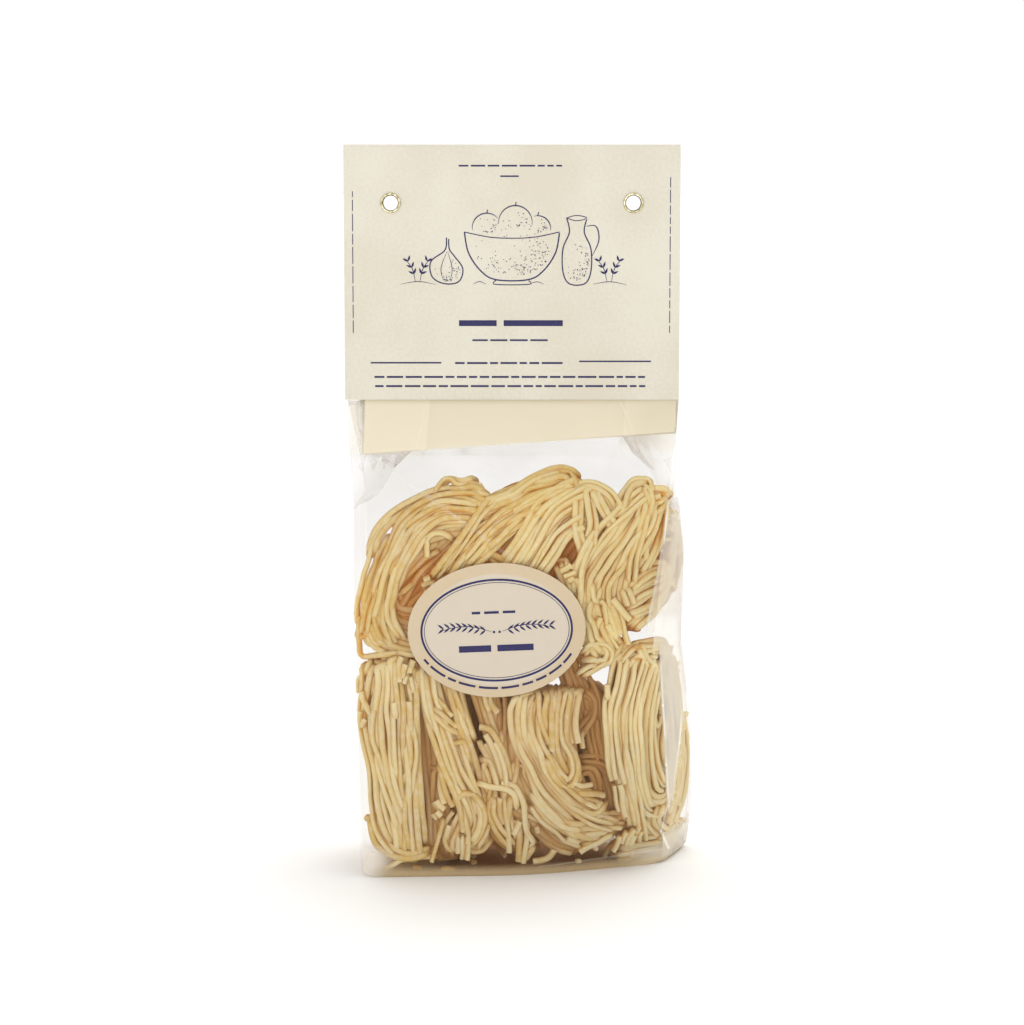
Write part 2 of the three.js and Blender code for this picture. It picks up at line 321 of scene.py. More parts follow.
@dataclass(frozen=True)
class StickerFinish(Finish):
    """Satin cream paper that darkens a little towards its rim.

    Attributes:
        centre: The oval's middle, in X and Z.
        half: Half its width and height.
        tilt: Its turn in degrees, anticlockwise from the front.
    """

    centre: Pair
    half: Pair
    tilt: float
    middle: Colour = srgb(201, 189, 171)
    rim: Colour = srgb(197, 176, 142)

    FIBRES = 1300.0
    CLOUDS = 70.0
    RIM = (0.80, 0.86)  # from which to which share of the oval its rim begins
    RIM_SHARE = 0.9
    CLOUDED = (0.4, 0.6, -0.1, 0.12)  # which tones turn it how much towards its rim's colour
    RELIEF = (0.15, 0.03)

    def build(self) -> Material:
        """Make the material."""
        material, nodes, shader = self.start("cream_sticker", Roughness=0.42)
        place = nodes.node("Mapping", vector_type="TEXTURE")
        nodes.feed(place, Vector=nodes.object_point(), Rotation=(0.0, -math.radians(self.tilt), 0.0),
                   Location=(self.centre[0] * MM, 0.0, self.centre[1] * MM),
                   Scale=(self.half[0] * MM, 1.0, self.half[1] * MM))
        flat = nodes.vector("MULTIPLY", place.outputs["Vector"], (1.0, 0.0, 1.0))
        reach = nodes.vector("LENGTH", flat, (0.0, 0.0, 0.0), "Value")
        fibre = nodes.node("Group", node_tree=paper_fibre_group())
        nodes.feed(fibre, Fibre_Scale=self.FIBRES, Cloud_Scale=self.CLOUDS)
        edge = nodes.between(reach, *self.RIM, 0.0, self.RIM_SHARE)
        cloud = nodes.between(fibre.outputs["Tone"], *self.CLOUDED)
        nodes.feed(shader, Base_Color=nodes.blend(nodes.plus(edge, cloud, clamp=True), self.middle, self.rim))
        self.bump(nodes, shader, fibre.outputs["Height"], *self.RELIEF)
        return material


@dataclass(frozen=True)
class InkFinish(Finish):
    """Dark blue print that lets a little of the paper's grain through."""

    deep: Colour = srgb(24, 18, 74)
    thin: Colour = srgb(50, 44, 98)

    GRAIN = 1500.0
    WORN = (0.5, 0.72, 0.0, 0.5)  # where in its grain it is thinner, and how much

    def build(self) -> Material:
        """Make the material."""
        material, nodes, shader = self.start("navy_ink", Roughness=0.65)
        worn = nodes.between(nodes.noise(nodes.object_point(), self.GRAIN, 4.0), *self.WORN)
        nodes.feed(shader, Base_Color=nodes.blend(worn, self.deep, self.thin))
        return material


@dataclass(frozen=True)
class NickelFinish(Finish):
    """Satin nickel plate with fine turning marks, dulled to brass, with painted shade on its inner lip.

    Attributes:
        name: The material's name.
        centre: The eyelet's middle, in X and Z.
        painted_lip_shade: Between which radii the painted shade on the inner lip ends.
    """

    name: str
    centre: Pair
    painted_lip_shade: Pair = (2.8, 3.0)
    bright: Colour = srgb(234, 224, 190)
    dull: Colour = srgb(172, 158, 116)
    # dark is the painted shade of the inner lip, where the eyelet's inner wall lies in shadow
    dark: Colour = srgb(72, 56, 46)

    MARKS = 700.0
    MARKED = (0.35, 0.65)  # where in its marks it is dullest and brightest
    ROUGH = (0.3, 0.7, 0.22, 0.42)  # which marks are how rough
    RELIEF = (0.1, 0.05)

    def build(self) -> Material:
        """Make the material."""
        material, nodes, shader = self.start(self.name, Metallic=0.85)
        point = nodes.object_point()
        marks = nodes.noise(point, self.MARKS, 4.0, (1.0, 4.0, 1.0))
        plate = nodes.blend(nodes.between(marks, *self.MARKED, 0.0, 1.0), self.dull, self.bright)
        flat = nodes.vector("MULTIPLY", point, (1.0, 0.0, 1.0))
        middle = (self.centre[0] * MM, 0.0, self.centre[1] * MM)
        reach = nodes.vector("DISTANCE", flat, middle, "Value")
        # painted shade on the inner lip
        inner = nodes.ramp(reach, self.painted_lip_shade, 1.0, 0.0)
        nodes.feed(shader, Base_Color=nodes.blend(inner, plate, self.dark))
        nodes.feed(shader, Roughness=nodes.between(marks, *self.ROUGH))
        self.bump(nodes, shader, marks, *self.RELIEF)
        return material


@dataclass(frozen=True)
class PastaFinish(Finish):
    """Dry egg pasta: pale gold, each strand with its own tone, browned inside a nest by painted shade and
    glow.

    Attributes:
        pale: Where it is dusted with flour.
        gold, deep: The palest and the deepest strands.
        crevice_shade: Painted shade on the sides strands turn to each other, in the lower row and the upper
            one.
        shade: The painted shade between the strands inside a nest, in the two rows.
        painted_glow: A painted glow, emitted as if light shone through the strands there, in the two rows.
        shaded: How far below the film the painted shade starts, and where it is full, in millimetres.
        dark: The same for the back row, whose painted shade is darker still.
        rows: The heights between which the lower row's colours turn into the upper one's.
        golden: What the upper row's colours are multiplied by.
    """

    pale: Colour = srgb(237, 227, 201)
    gold: Colour = srgb(232, 213, 158)
    deep: Colour = srgb(215, 182, 108)
    crevice_shade: tuple[Colour, Colour] = (srgb(200, 144, 46), srgb(210, 140, 22))
    shade: tuple[Colour, Colour] = (srgb(166, 115, 56), srgb(184, 110, 26))
    painted_glow: tuple[Colour, Colour] = (srgb(74, 51, 24), srgb(94, 54, 8))
    shaded: Pair = (2.6, 9.0)
    dark: Pair = (8.5, 16.0)
    rows: Pair = (70.0, 92.0)
    golden: Colour = (1.0, 0.985, 0.88, 1.0)

    BLACK = (0.0, 0.0, 0.0, 1.0)
    PATCHES = 45.0
    DUST = 420.0
    GRAIN = 1600.0
    OWN_TONE = 0.75  # how much of a strand's tone is its own; patches make the rest
    TONED = (0.1, 0.9)
    DUSTED = (0.6, 1.05, 0.0, 0.5)  # where in the dust it is pale, and how much
    # INSIDE, BESIDE, BESIDE_GLOW and DARK set how strong the painted shade, crevice shade and glow are
    INSIDE = 0.9  # how much of the shade's colour there is deep inside
    BESIDE = 0.9  # how much of the crevices' colour there is
    BESIDE_GLOW = 0.3
    DARK = 0.5  # how dark the back row gets
    ROUGH = (0.3, 0.7, 0.5, 0.72)
    DUST_RELIEF = 0.6
    RELIEF = (0.3, 0.3)

    def build(self) -> Material:
        """Make the material."""
        material, nodes, shader = self.start("egg_pasta")
        # the painted glow below is emission that stands in for light shining through the strands
        material.cycles.emission_sampling = "NONE"  # the glow is far too faint to be a lamp
        point = nodes.object_point()
        strand = nodes.node("Attribute", attribute_name="strand_tone").outputs["Fac"]
        patches = nodes.noise(point, self.PATCHES, 3.0)
        dust = nodes.noise(point, self.DUST, 5.0)
        tone = nodes.plus(nodes.times(strand, self.OWN_TONE), nodes.times(patches, 1 - self.OWN_TONE))
        base = nodes.blend(nodes.between(tone, *self.TONED, 0.0, 1.0), self.deep, self.gold)
        dusted = nodes.between(nodes.plus(dust, nodes.times(patches, 0.5)), *self.DUSTED)
        place = nodes.feed(nodes.node("SeparateXYZ"), Vector=point)
        upper = nodes.ramp(place.outputs["Z"], self.rows)
        dry = nodes.blend(upper, nodes.blend(dusted, base, self.pale), self.golden, "MULTIPLY")
        # painted shade: strands brown with how deep they lie in the bag and on the sides they turn to each
        # other
        depth = nodes.node("Attribute", attribute_name="painted_shade_depth").outputs["Fac"]
        crevice_shade, shade, painted_glow = (nodes.blend(upper, *pair) for pair in (self.crevice_shade, self.shade, self.painted_glow))
        inside = nodes.between(depth, *self.shaded, 0.0, self.INSIDE)
        side = nodes.node("Attribute", attribute_name="painted_crevice_shade").outputs["Fac"]
        beside = nodes.times(side, self.BESIDE)
        painted_shade_colour = nodes.blend(inside, nodes.blend(beside, dry, crevice_shade), shade)
        # painted shade: deep in the back row the colour is darkened towards black
        dark = nodes.between(depth, *self.dark, 0.0, self.DARK)
        nodes.feed(shader, Base_Color=nodes.blend(dark, painted_shade_colour, self.BLACK))
        # painted glow: emission for light shining through the strands, deep inside and beside their crevices
        through = nodes.times(nodes.minus(1.0, dark),
                              nodes.math("MAXIMUM", inside, nodes.times(beside, self.BESIDE_GLOW)))
        nodes.feed(shader, Emission_Strength=1.0, Emission_Color=nodes.blend(through, self.BLACK, painted_glow))
        nodes.feed(shader, Roughness=nodes.between(dust, *self.ROUGH))
        grain = nodes.plus(nodes.times(dust, self.DUST_RELIEF),
                           nodes.times(nodes.noise(point, self.GRAIN, 3.0), 1 - self.DUST_RELIEF))
        self.bump(nodes, shader, grain, *self.RELIEF)
        return material


class FilmPart(Enum):
    """The panels of the bag, whose films look more or less milky."""

    FACE = "film_face"
    LEFT_GUSSET = "film_left_gusset"
    RIGHT_GUSSET = "film_right_gusset"
    BASE = "film_base"


@dataclass(frozen=True)
class Crease:
    """A sharp fold line in the film's front, with a painted highlight along it.

    Attributes:
        start, end: Its ends as seen from the front, in X and Z.
        width: How far its gleam reaches to either side.
        gleam: How much of the light behind it the line stops, and how strongly its painted highlight shows.
    """

    start: Pair
    end: Pair
    width: float = 0.7
    gleam: float = 0.3

    FADES = 60.0  # waves in a metre of what breaks it up
    FADED = (0.3, 0.6, 0.35, 1.0)
    BACK = (0.0, 6.0)  # from which to which Y it ends, as only the front has it


@dataclass(frozen=True)
class SheenVeil:
    """A milky part of the film that also carries a painted sheen, between two slanting lines.

    Attributes:
        left, right: The lines, each by its X at the floor and how far it goes right for each millimetre up.
        low, high: The heights that it lies between.
        stops: How much of the light behind it it stops.
        soft: How far its left and right edges fade.
    """

    left: Pair | None
    right: Pair | None
    low: float
    high: float
    stops: float
    soft: float = 0.5

    FADE = 5.0

    def mask(self, nodes: NodeTree, x: Socket, z: Socket) -> Socket:
        """Make the nodes for it.

        Args:
            nodes: The material's tree.
            x, z: The shaded point's place.

        Returns:
            How much it stops there.
        """
        above = nodes.ramp(z, (self.low, self.low + self.FADE), 0.0, self.stops)
        below = nodes.ramp(z, (self.high - self.FADE, self.high), 1.0, 0.0)
        mask = nodes.times(above, below)
        for line, ends in ((self.left, (0.0, 1.0)), (self.right, (1.0, 0.0))):
            if line:
                aside = nodes.minus(x, nodes.plus(nodes.times(z, line[1]), line[0] * MM))
                mask = nodes.times(mask, nodes.ramp(aside, (-self.soft, self.soft), *ends))
        return mask


@cache
def crease_group() -> bpy.types.NodeTree:
    """One fold line's painted highlight on the film's front, as a node group.

    Returns:
        A group with Start, End, Width and Gleam in, and Mask out.
    """
    nodes, given, out = start_group("film_crease", ("Start", "End"), ("Width", "Gleam"), ("Mask",))
    point = nodes.object_point()
    flat = nodes.vector("MULTIPLY", point, (1.0, 0.0, 1.0))
    run = nodes.vector("SUBTRACT", given.outputs["End"], given.outputs["Start"])
    reach = nodes.vector("SUBTRACT", flat, given.outputs["Start"])
    share = nodes.math("DIVIDE", nodes.vector("DOT_PRODUCT", reach, run, "Value"),
                       nodes.vector("DOT_PRODUCT", run, run, "Value"), clamp=True)
    scaled = nodes.feed(nodes.node("VectorMath", operation="SCALE"), Vector=run, Scale=share)
    away = nodes.vector("DISTANCE", reach, scaled.outputs["Vector"], "Value")
    near = nodes.minus(1.0, nodes.math("DIVIDE", away, given.outputs["Width"]), clamp=True)
    faded = nodes.between(nodes.noise(point, Crease.FADES, 2.0), *Crease.FADED)
    depth = nodes.feed(nodes.node("SeparateXYZ"), Vector=point)
    in_front = nodes.ramp(depth.outputs["Y"], Crease.BACK, 1.0, 0.0)
    mask = nodes.times(nodes.times(near, given.outputs["Gleam"]), nodes.times(faded, in_front))
    nodes.feed(out, Mask=mask)
    return nodes.tree


@dataclass(frozen=True)
class FilmFinish(Finish):
    """Clear glossy film, with painted highlights and sheen, and painted light and shadow at its neck and
    base.

    Attributes:
        part: The panel that it covers.
        haze: How much of the light behind it the plain film stops.
        wrinkled: How much its small wrinkles stop, with a painted highlight on them.
        tint: The colour of what the plain film scatters; on the base it is a painted shadow of the pasta
            above.
        gleam: The pale colour of the painted highlights on its wrinkles, fold lines and slanted parts.
        edge: How much more it stops where it is seen at a slant, painted in the gleam's colour as a
            reflection.
        painted_panel_light: How much more it stops where it is gathered below the header, as a painted lit
            card.
        gloss: How strongly it reflects.
        roughness: How blurred its reflections are.
        creases: The fold lines that cross it.
        veils: Its milky parts, which also carry a painted sheen.
        foot: How much more it stops at the bag's foot, except at its left corner.
        corners: Its tint at the bag's corners, if that is another one: painted light, past the painted
            shadow.
    """

    part: FilmPart
    haze: float
    wrinkled: float
    tint: Colour = srgb(128, 112, 86)
    gleam: Colour = srgb(248, 246, 240)
    edge: float = 0.22
    painted_panel_light: float = 0.8
    gloss: float = 0.45
    roughness: float = 0.12
    creases: tuple[Crease, ...] = ()
    veils: tuple[SheenVeil, ...] = ()
    foot: float = 0.0
    corners: Colour | None = None

    # the neck: the lit look of the header's back panel is painted on the film where the panel shows through
    NECK = (153.7, 154.7)  # from which to which height the neck begins, below the header's middle
    NECK_LEAN = 0.064
    NECK_EDGE = (-53.6, -52.4)  # from which to which X it begins
    NECK_PAINTED_LIGHT = srgb(235, 223, 194)
    # the colour of the milky veils and their painted sheen
    MILK_AND_SHEEN = srgb(255, 248, 231)
    FOOT = (1.0, 5.0)  # from which to which height the foot ends
    BARE = (-52.0, -40.0)  # from which to which X the left corner ends
    # on the base, the painted shadow of the pasta turns to painted light towards its corners
    CORNERS = (24.0, 38.0)  # from which to which X the tint turns into the corners', off BASE_MIDDLE
    BASE_MIDDLE = 4.0
    CLEAR_SIDE = (46.0, 58.0)  # from which to which X, to either side, the plain film gets clearer
    CLEAR_RISE = (130.0, 144.0)  # from which to which height it does
    CLEAR = 0.8  # how much clearer
    SEAM = srgb(216, 192, 148)
    SLANT = 0.25  # how soon a slant counts
    LEAST = 0.001  # so that nothing is divided by 0
    FOLDS = 34.0
    VEIN = 0.02  # how wide a wrinkle's line is in its noise
    PATCHES = 16.0
    PATCHED = (0.48, 0.66)  # where in its noise a patch of wrinkles is
    CLOUDS = 22.0
    CLOUDED = (0.35, 0.7, 0.75, 1.35)  # how much the haze varies
    RELIEF = (0.25, 0.6)

    def build(self) -> Material:
        """Make the material."""
        material, nodes, shader = self.start(self.part.value, Roughness=self.roughness,
                                             Specular_IOR_Level=self.gloss)
        point = nodes.object_point()
        x, _, z = nodes.feed(nodes.node("SeparateXYZ"), Vector=point).outputs
        lines, height = self.fold_lines(nodes, point)
        # painted highlight and reflection: fold lines, wrinkles and slanted parts take the pale gleam colour
        slant = nodes.feed(nodes.node("LayerWeight"), Blend=self.SLANT).outputs["Fresnel"]
        light = nodes.plus(nodes.times(slant, self.edge), lines, clamp=True)
        covered = nodes.ramp(x, self.BARE)
        haze, tint = self.plain(nodes, point, x, z, covered)
        # painted light: the neck takes the cream of the lit card behind it
        rise = nodes.minus(z, nodes.times(x, self.NECK_LEAN))
        painted_panel_light = nodes.times(nodes.ramp(rise, self.NECK, 0.0, self.painted_panel_light), nodes.ramp(x, self.NECK_EDGE))
        foot = nodes.times(nodes.ramp(z, self.FOOT, self.foot, 0.0), covered)
        milk_and_sheen = 0.0
        for veil in self.veils:
            milk_and_sheen = nodes.plus(milk_and_sheen, veil.mask(nodes, x, z))
        stopped = nodes.plus(nodes.plus(nodes.plus(haze, light), foot), nodes.plus(painted_panel_light, milk_and_sheen), clamp=True)
        nodes.feed(shader, Alpha=stopped)
        whole = nodes.plus(stopped, self.LEAST)
        base = nodes.blend(nodes.math("DIVIDE", light, whole, clamp=True), tint, self.gleam)
        # over the plain film: the veils' painted sheen, the neck's painted lit card, and the seam at the foot
        for part, colour in ((milk_and_sheen, self.MILK_AND_SHEEN), (painted_panel_light, self.NECK_PAINTED_LIGHT), (foot, self.SEAM)):
            base = nodes.blend(nodes.math("DIVIDE", part, whole, clamp=True), base, colour)
        nodes.feed(shader, Base_Color=base)
        self.bump(nodes, shader, height, *self.RELIEF)
        return material

    def fold_lines(self, nodes: NodeTree, point: Socket) -> tuple[Socket, Socket]:
        """The painted highlights of the small wrinkles and the fold lines.

        Args:
            nodes: The material's tree.
            point: The shaded point.

        Returns:
            How much light they stop there with their painted highlights, and how high the film stands.
        """
        folds = nodes.noise(point, self.FOLDS, 5.0, (1.0, 1.0, 0.45))
        veins = nodes.math("ABSOLUTE", nodes.minus(folds, 0.5))
        vein = nodes.between(veins, 0.0, self.VEIN, 1.0, 0.0)
        patch = nodes.between(nodes.noise(point, self.PATCHES, 2.0), *self.PATCHED, 0.0, 1.0)
        lines, height = nodes.times(nodes.times(vein, patch), self.wrinkled), folds
        for crease in self.creases:
            line = nodes.node("Group", node_tree=crease_group())
            nodes.feed(line, Start=(crease.start[0] * MM, 0.0, crease.start[1] * MM),
                       End=(crease.end[0] * MM, 0.0, crease.end[1] * MM), Width=crease.width * MM,
                       Gleam=crease.gleam)
            lines = nodes.plus(lines, line.outputs["Mask"], clamp=True)
            height = nodes.plus(height, line.outputs["Mask"])
        return lines, height

    def plain(self, nodes: NodeTree, point: Socket, x: Socket, z: Socket, covered: Socket
              ) -> tuple[Socket, object]:
        """The haze of the plain film and its colour.

        Args:
            nodes: The material's tree.
            point: The shaded point.
            x, z: Its place.
            covered: 0 at the left corner and 1 elsewhere.

        Returns:
            How much the plain film stops there, and its tint, which on the base is a painted shadow.
        """
        cloud = nodes.between(nodes.noise(point, self.CLOUDS, 3.0), *self.CLOUDED)
        beside = nodes.ramp(nodes.math("ABSOLUTE", x), self.CLEAR_SIDE, 0.0, self.CLEAR)
        clear = nodes.minus(1.0, nodes.times(beside, nodes.ramp(z, self.CLEAR_RISE)))
        haze = nodes.times(nodes.times(cloud, self.haze), clear)
        if self.corners is None:
            return haze, self.tint
        # painted shadow in the base's middle, painted light at its corners
        aside = nodes.math("ABSOLUTE", nodes.minus(x, self.BASE_MIDDLE * MM))
        tint = nodes.blend(nodes.ramp(aside, self.CORNERS), self.tint, self.corners)
        return nodes.times(haze, covered), tint


@dataclass(frozen=True)
class FloorFinish(Finish):
    """A plain pale table top."""

    tone: Colour = srgb(250, 249, 247)
    mottled: Colour = srgb(247, 246, 244)

    def build(self) -> Material:
        """Make the material."""
        material, nodes, shader = self.start("pale_floor", Roughness=0.8, Specular_IOR_Level=0.2)
        mottle = nodes.noise(nodes.object_point(), 3.0, 2.0)
        nodes.feed(shader, Base_Color=nodes.blend(mottle, self.tone, self.mottled))
        return material


# ---- Mesh building ----------------------------------------------------------------------------


def mesh_piece(name: str, points: Iterable[Vector], faces: Iterable[Sequence[int]],
               material: Material) -> Piece:
    """A mesh object from points in millimetres.

    Args:
        name: The piece's name.
        points: Its points.
        faces: Its faces, as indices into the points.
        material: Its finish.

    Returns:
        The new object, at the origin.
    """
    mesh = bpy.data.meshes.new(name)
    mesh.from_pydata([tuple(p * MM) for p in points], [], [tuple(f) for f in faces])
    mesh.validate()
    mesh.materials.append(material)
    piece = bpy.data.objects.new(name, mesh)
    bpy.context.scene.collection.objects.link(piece)
    return piece


def smooth_by_angle(piece: Piece, degrees: float) -> None:
    """Shade a piece smooth, except across edges sharper than an angle.

    Args:
        piece: The piece.
        degrees: The angle.
    """
    bpy.ops.object.select_all(action="DESELECT")
    piece.select_set(True)
    bpy.context.view_layer.objects.active = piece
    bpy.ops.object.shade_smooth_by_angle(angle=math.radians(degrees))


def surface_of(node: Piece) -> BVHTree:
    """A search tree over a frame node's surface, in metres."""
    mesh = node.data
    return BVHTree.FromPolygons([v.co for v in mesh.vertices], [tuple(p.vertices) for p in mesh.polygons])


def front_at(surface: BVHTree, x: float, z: float) -> float | None:
    """The Y of a surface's front at X and Z, in millimetres, or None where there is nothing."""
    hit = surface.ray_cast(Vector((x, IN_FRONT, z)) * MM, -OUTWARD)[0]
    return hit.y / MM if hit else None


@dataclass(frozen=True)
class Ribbon:
    """The section of a pasta strand: a flat band with softened corners."""

    width: float = 2.25
    thickness: float = 1.6
    corner: float = 0.5

    def section(self) -> list[Pair]:
        """The section's corners, across the band and through it, anticlockwise."""
        w, t, c = self.width / 2, self.thickness / 2, self.corner
        return [(w, t - c), (w - c, t), (c - w, t), (-w, t - c), (-w, c - t), (c - w, -t), (w - c, -t),
                (w, c - t)]


@dataclass
class Strand:
    """One strand's centre line, with the direction that its flat side is wide in.

    Attributes:
        points: The centre line, in millimetres.
        across: For each point, the direction that the band is wide in.
        tone: Its own colour, from deep to pale.
        girth: Its size against the others'.
        give: How far it gives way where strands press on each other.
        depths: How far each point lies from the film, as it counts for the painted shade.
        inward: For each point, the way from the film into the bag, which places the painted crevice shade.
        painted_shade_offset: How much deeper it counts as lying than it does, for the painted shade.
    """

    points: list[Vector]
    across: list[Vector]
    tone: float
    girth: float = 1.0
    give: float = 1.0
    depths: list[float] = field(default_factory=list)
    inward: list[Vector] = field(default_factory=list)
    painted_shade_offset: float = 0.0

    SHARP = math.radians(13)

    def refine(self) -> None:
        """Put an extra point on either side of each sharp bend, so that loops look round."""
        bends = [0.0] * len(self.points)
        for i in range(1, len(self.points) - 1):
            before, after = self.points[i] - self.points[i - 1], self.points[i + 1] - self.points[i]
            bends[i] = before.angle(after, 0.0)
        points, across = [], []
        last = len(self.points) - 1
        for i in range(last):
            points.append(self.points[i])
            across.append(self.across[i])
            if max(bends[i], bends[i + 1]) > self.SHARP:
                points.append(curve_point(self.points, i, 0.5))
                across.append((self.across[i] + self.across[i + 1]) / 2)
        self.points, self.across = points + self.points[-1:], across + self.across[-1:]


def curve_point(points: Sequence[Vector], index: int, share: float) -> Vector:
    """A point of the smooth curve through some points.

    Args:
        points: The points that the curve passes through.
        index: The stretch, by the point that it starts at.
        share: How far along the stretch, from 0 to 1.

    Returns:
        The point.
    """
    last = len(points) - 1
    a, b, c, d = (points[min(last, max(0, index + k))] for k in (-1, 0, 1, 2))
    t = share
    return (b * 2 + (c - a) * t + (a * 2 - b * 5 + c * 4 - d) * t * t
            + (b * 3 - a - c * 3 + d) * t * t * t) / 2


def evenly(points: Sequence[Vector], step: float) -> list[Vector]:
    """Points at even steps along the smooth curve through some points.

    Args:
        points: The points that the curve passes through.
        step: The distance between the new ones.

    Returns:
        The new points, from the first to the last.
    """
    dense = [curve_point(points, i, k / FINE) for i in range(len(points) - 1) for k in range(FINE)]
    dense.append(points[-1].copy())
    made, walked = [dense[0]], 0.0
    for before, after in zip(dense, dense[1:]):
        walked += (after - before).length
        if walked >= step:
            made.append(after)
            walked = 0.0
    return made


def rolled(line: Sequence[Vector], axis: Vector, rolls: Sequence[float]) -> list[Vector]:
    """The way that a strand's flat side is wide in, as it rolls along its length.

    Args:
        line: The strand's points.
        axis: The direction that an unrolled band is wide in.
        rolls: Its roll in degrees at each point.

    Returns:
        One direction for each point.
    """
    last = len(line) - 1
    made = []
    for i, roll in enumerate(rolls):
        along = (line[min(i + 1, last)] - line[max(i - 1, 0)]).normalized()
        wide = axis - along * axis.dot(along)
        if wide.length < LEAST_WIDE:
            wide = along.orthogonal()
        made.append(Matrix.Rotation(math.radians(roll), 3, along) @ wide.normalized())
    return made


class StrandMesh:
    """Gathers strands into the points and faces of one mesh."""

    CUT_TONE = 0.7  # how much paler a cut end is
    SMOOTH = 50  # the sharpest edge, in degrees, that is shaded smooth
    # CREVICE places the painted crevice shade; BACK and BACK_LIGHT lessen the painted shade on back sides
    CREVICE = (-0.75, 0.2)  # how far in from a strand's middle its crevices start and are full
    BACK = (0.2, 0.9)  # how far a side is turned to the bag's back where it starts to be lit from there
    BACK_LIGHT = 0.55  # how much paler such a side is

    def __init__(self, ribbon: Ribbon) -> None:
        """Start an empty mesh.

        Args:
            ribbon: The section that every strand has.
        """
        self.section = ribbon.section()
        self.points: list[Vector] = []
        self.faces: list[list[int]] = []
        self.tones: list[float] = []
        self.depths: list[float] = []
        self.crevices: list[float] = []

    def add(self, strand: Strand) -> None:
        """Sweep the section along a strand and close its cut ends.

        Args:
            strand: The strand.
        """
        around = len(self.section)
        start = len(self.points)
        last = len(strand.points) - 1
        for i, point in enumerate(strand.points):
            along = (strand.points[min(i + 1, last)] - strand.points[max(i - 1, 0)]).normalized()
            wide = (strand.across[i] - along * strand.across[i].dot(along)).normalized()
            thick = along.cross(wide)
            offsets = [(wide * u + thick * v) * strand.girth for u, v in self.section]
            self.points += [point + offset for offset in offsets]
            # painted light: sides turned to the bag's back get less of the painted shade
            shades = [1 - self.BACK_LIGHT * smoothstep(offset.normalized().y, *self.BACK)
                      for offset in offsets]
            self.crevices += [smoothstep(offset.dot(strand.inward[i]), *self.CREVICE) * shade
                              for offset, shade in zip(offsets, shades)]
            self.tones += [strand.tone + (self.CUT_TONE if i in (0, last) else 0.0)] * around
            self.depths += [strand.depths[i] * shade for shade in shades]
        for i in range(last):
            low, high = start + i * around, start + (i + 1) * around
            self.faces += [[low + k, low + (k + 1) % around, high + (k + 1) % around, high + k]
                           for k in range(around)]
        self.faces.append(list(range(start + around - 1, start - 1, -1)))
        self.faces.append([start + last * around + k for k in range(around)])

    def piece(self, name: str, material: Material) -> Piece:
        """Make the mesh object.

        Args:
            name: The piece's name.
            material: Its finish.

        Returns:
            The piece, with each strand's tone and its painted shade, by depth and at its crevices, as
            attributes.
        """
        made = mesh_piece(name, self.points, self.faces, material)
        for attribute, values in (("strand_tone", self.tones), ("painted_shade_depth", self.depths),
                                  ("painted_crevice_shade", self.crevices)):
            made.data.attributes.new(attribute, "FLOAT", "POINT").data.foreach_set("value", values)
        smooth_by_angle(made, self.SMOOTH)
        return made


# ---- Nests ------------------------------------------------------------------------------------


class Ends(Enum):
    """Which ends of a lock are tucked into its nest, by whether the first and the last one are."""

    TUCKED = (True, True)
    FREE_START = (False, True)
    FREE_END = (True, False)
    FREE = (False, False)


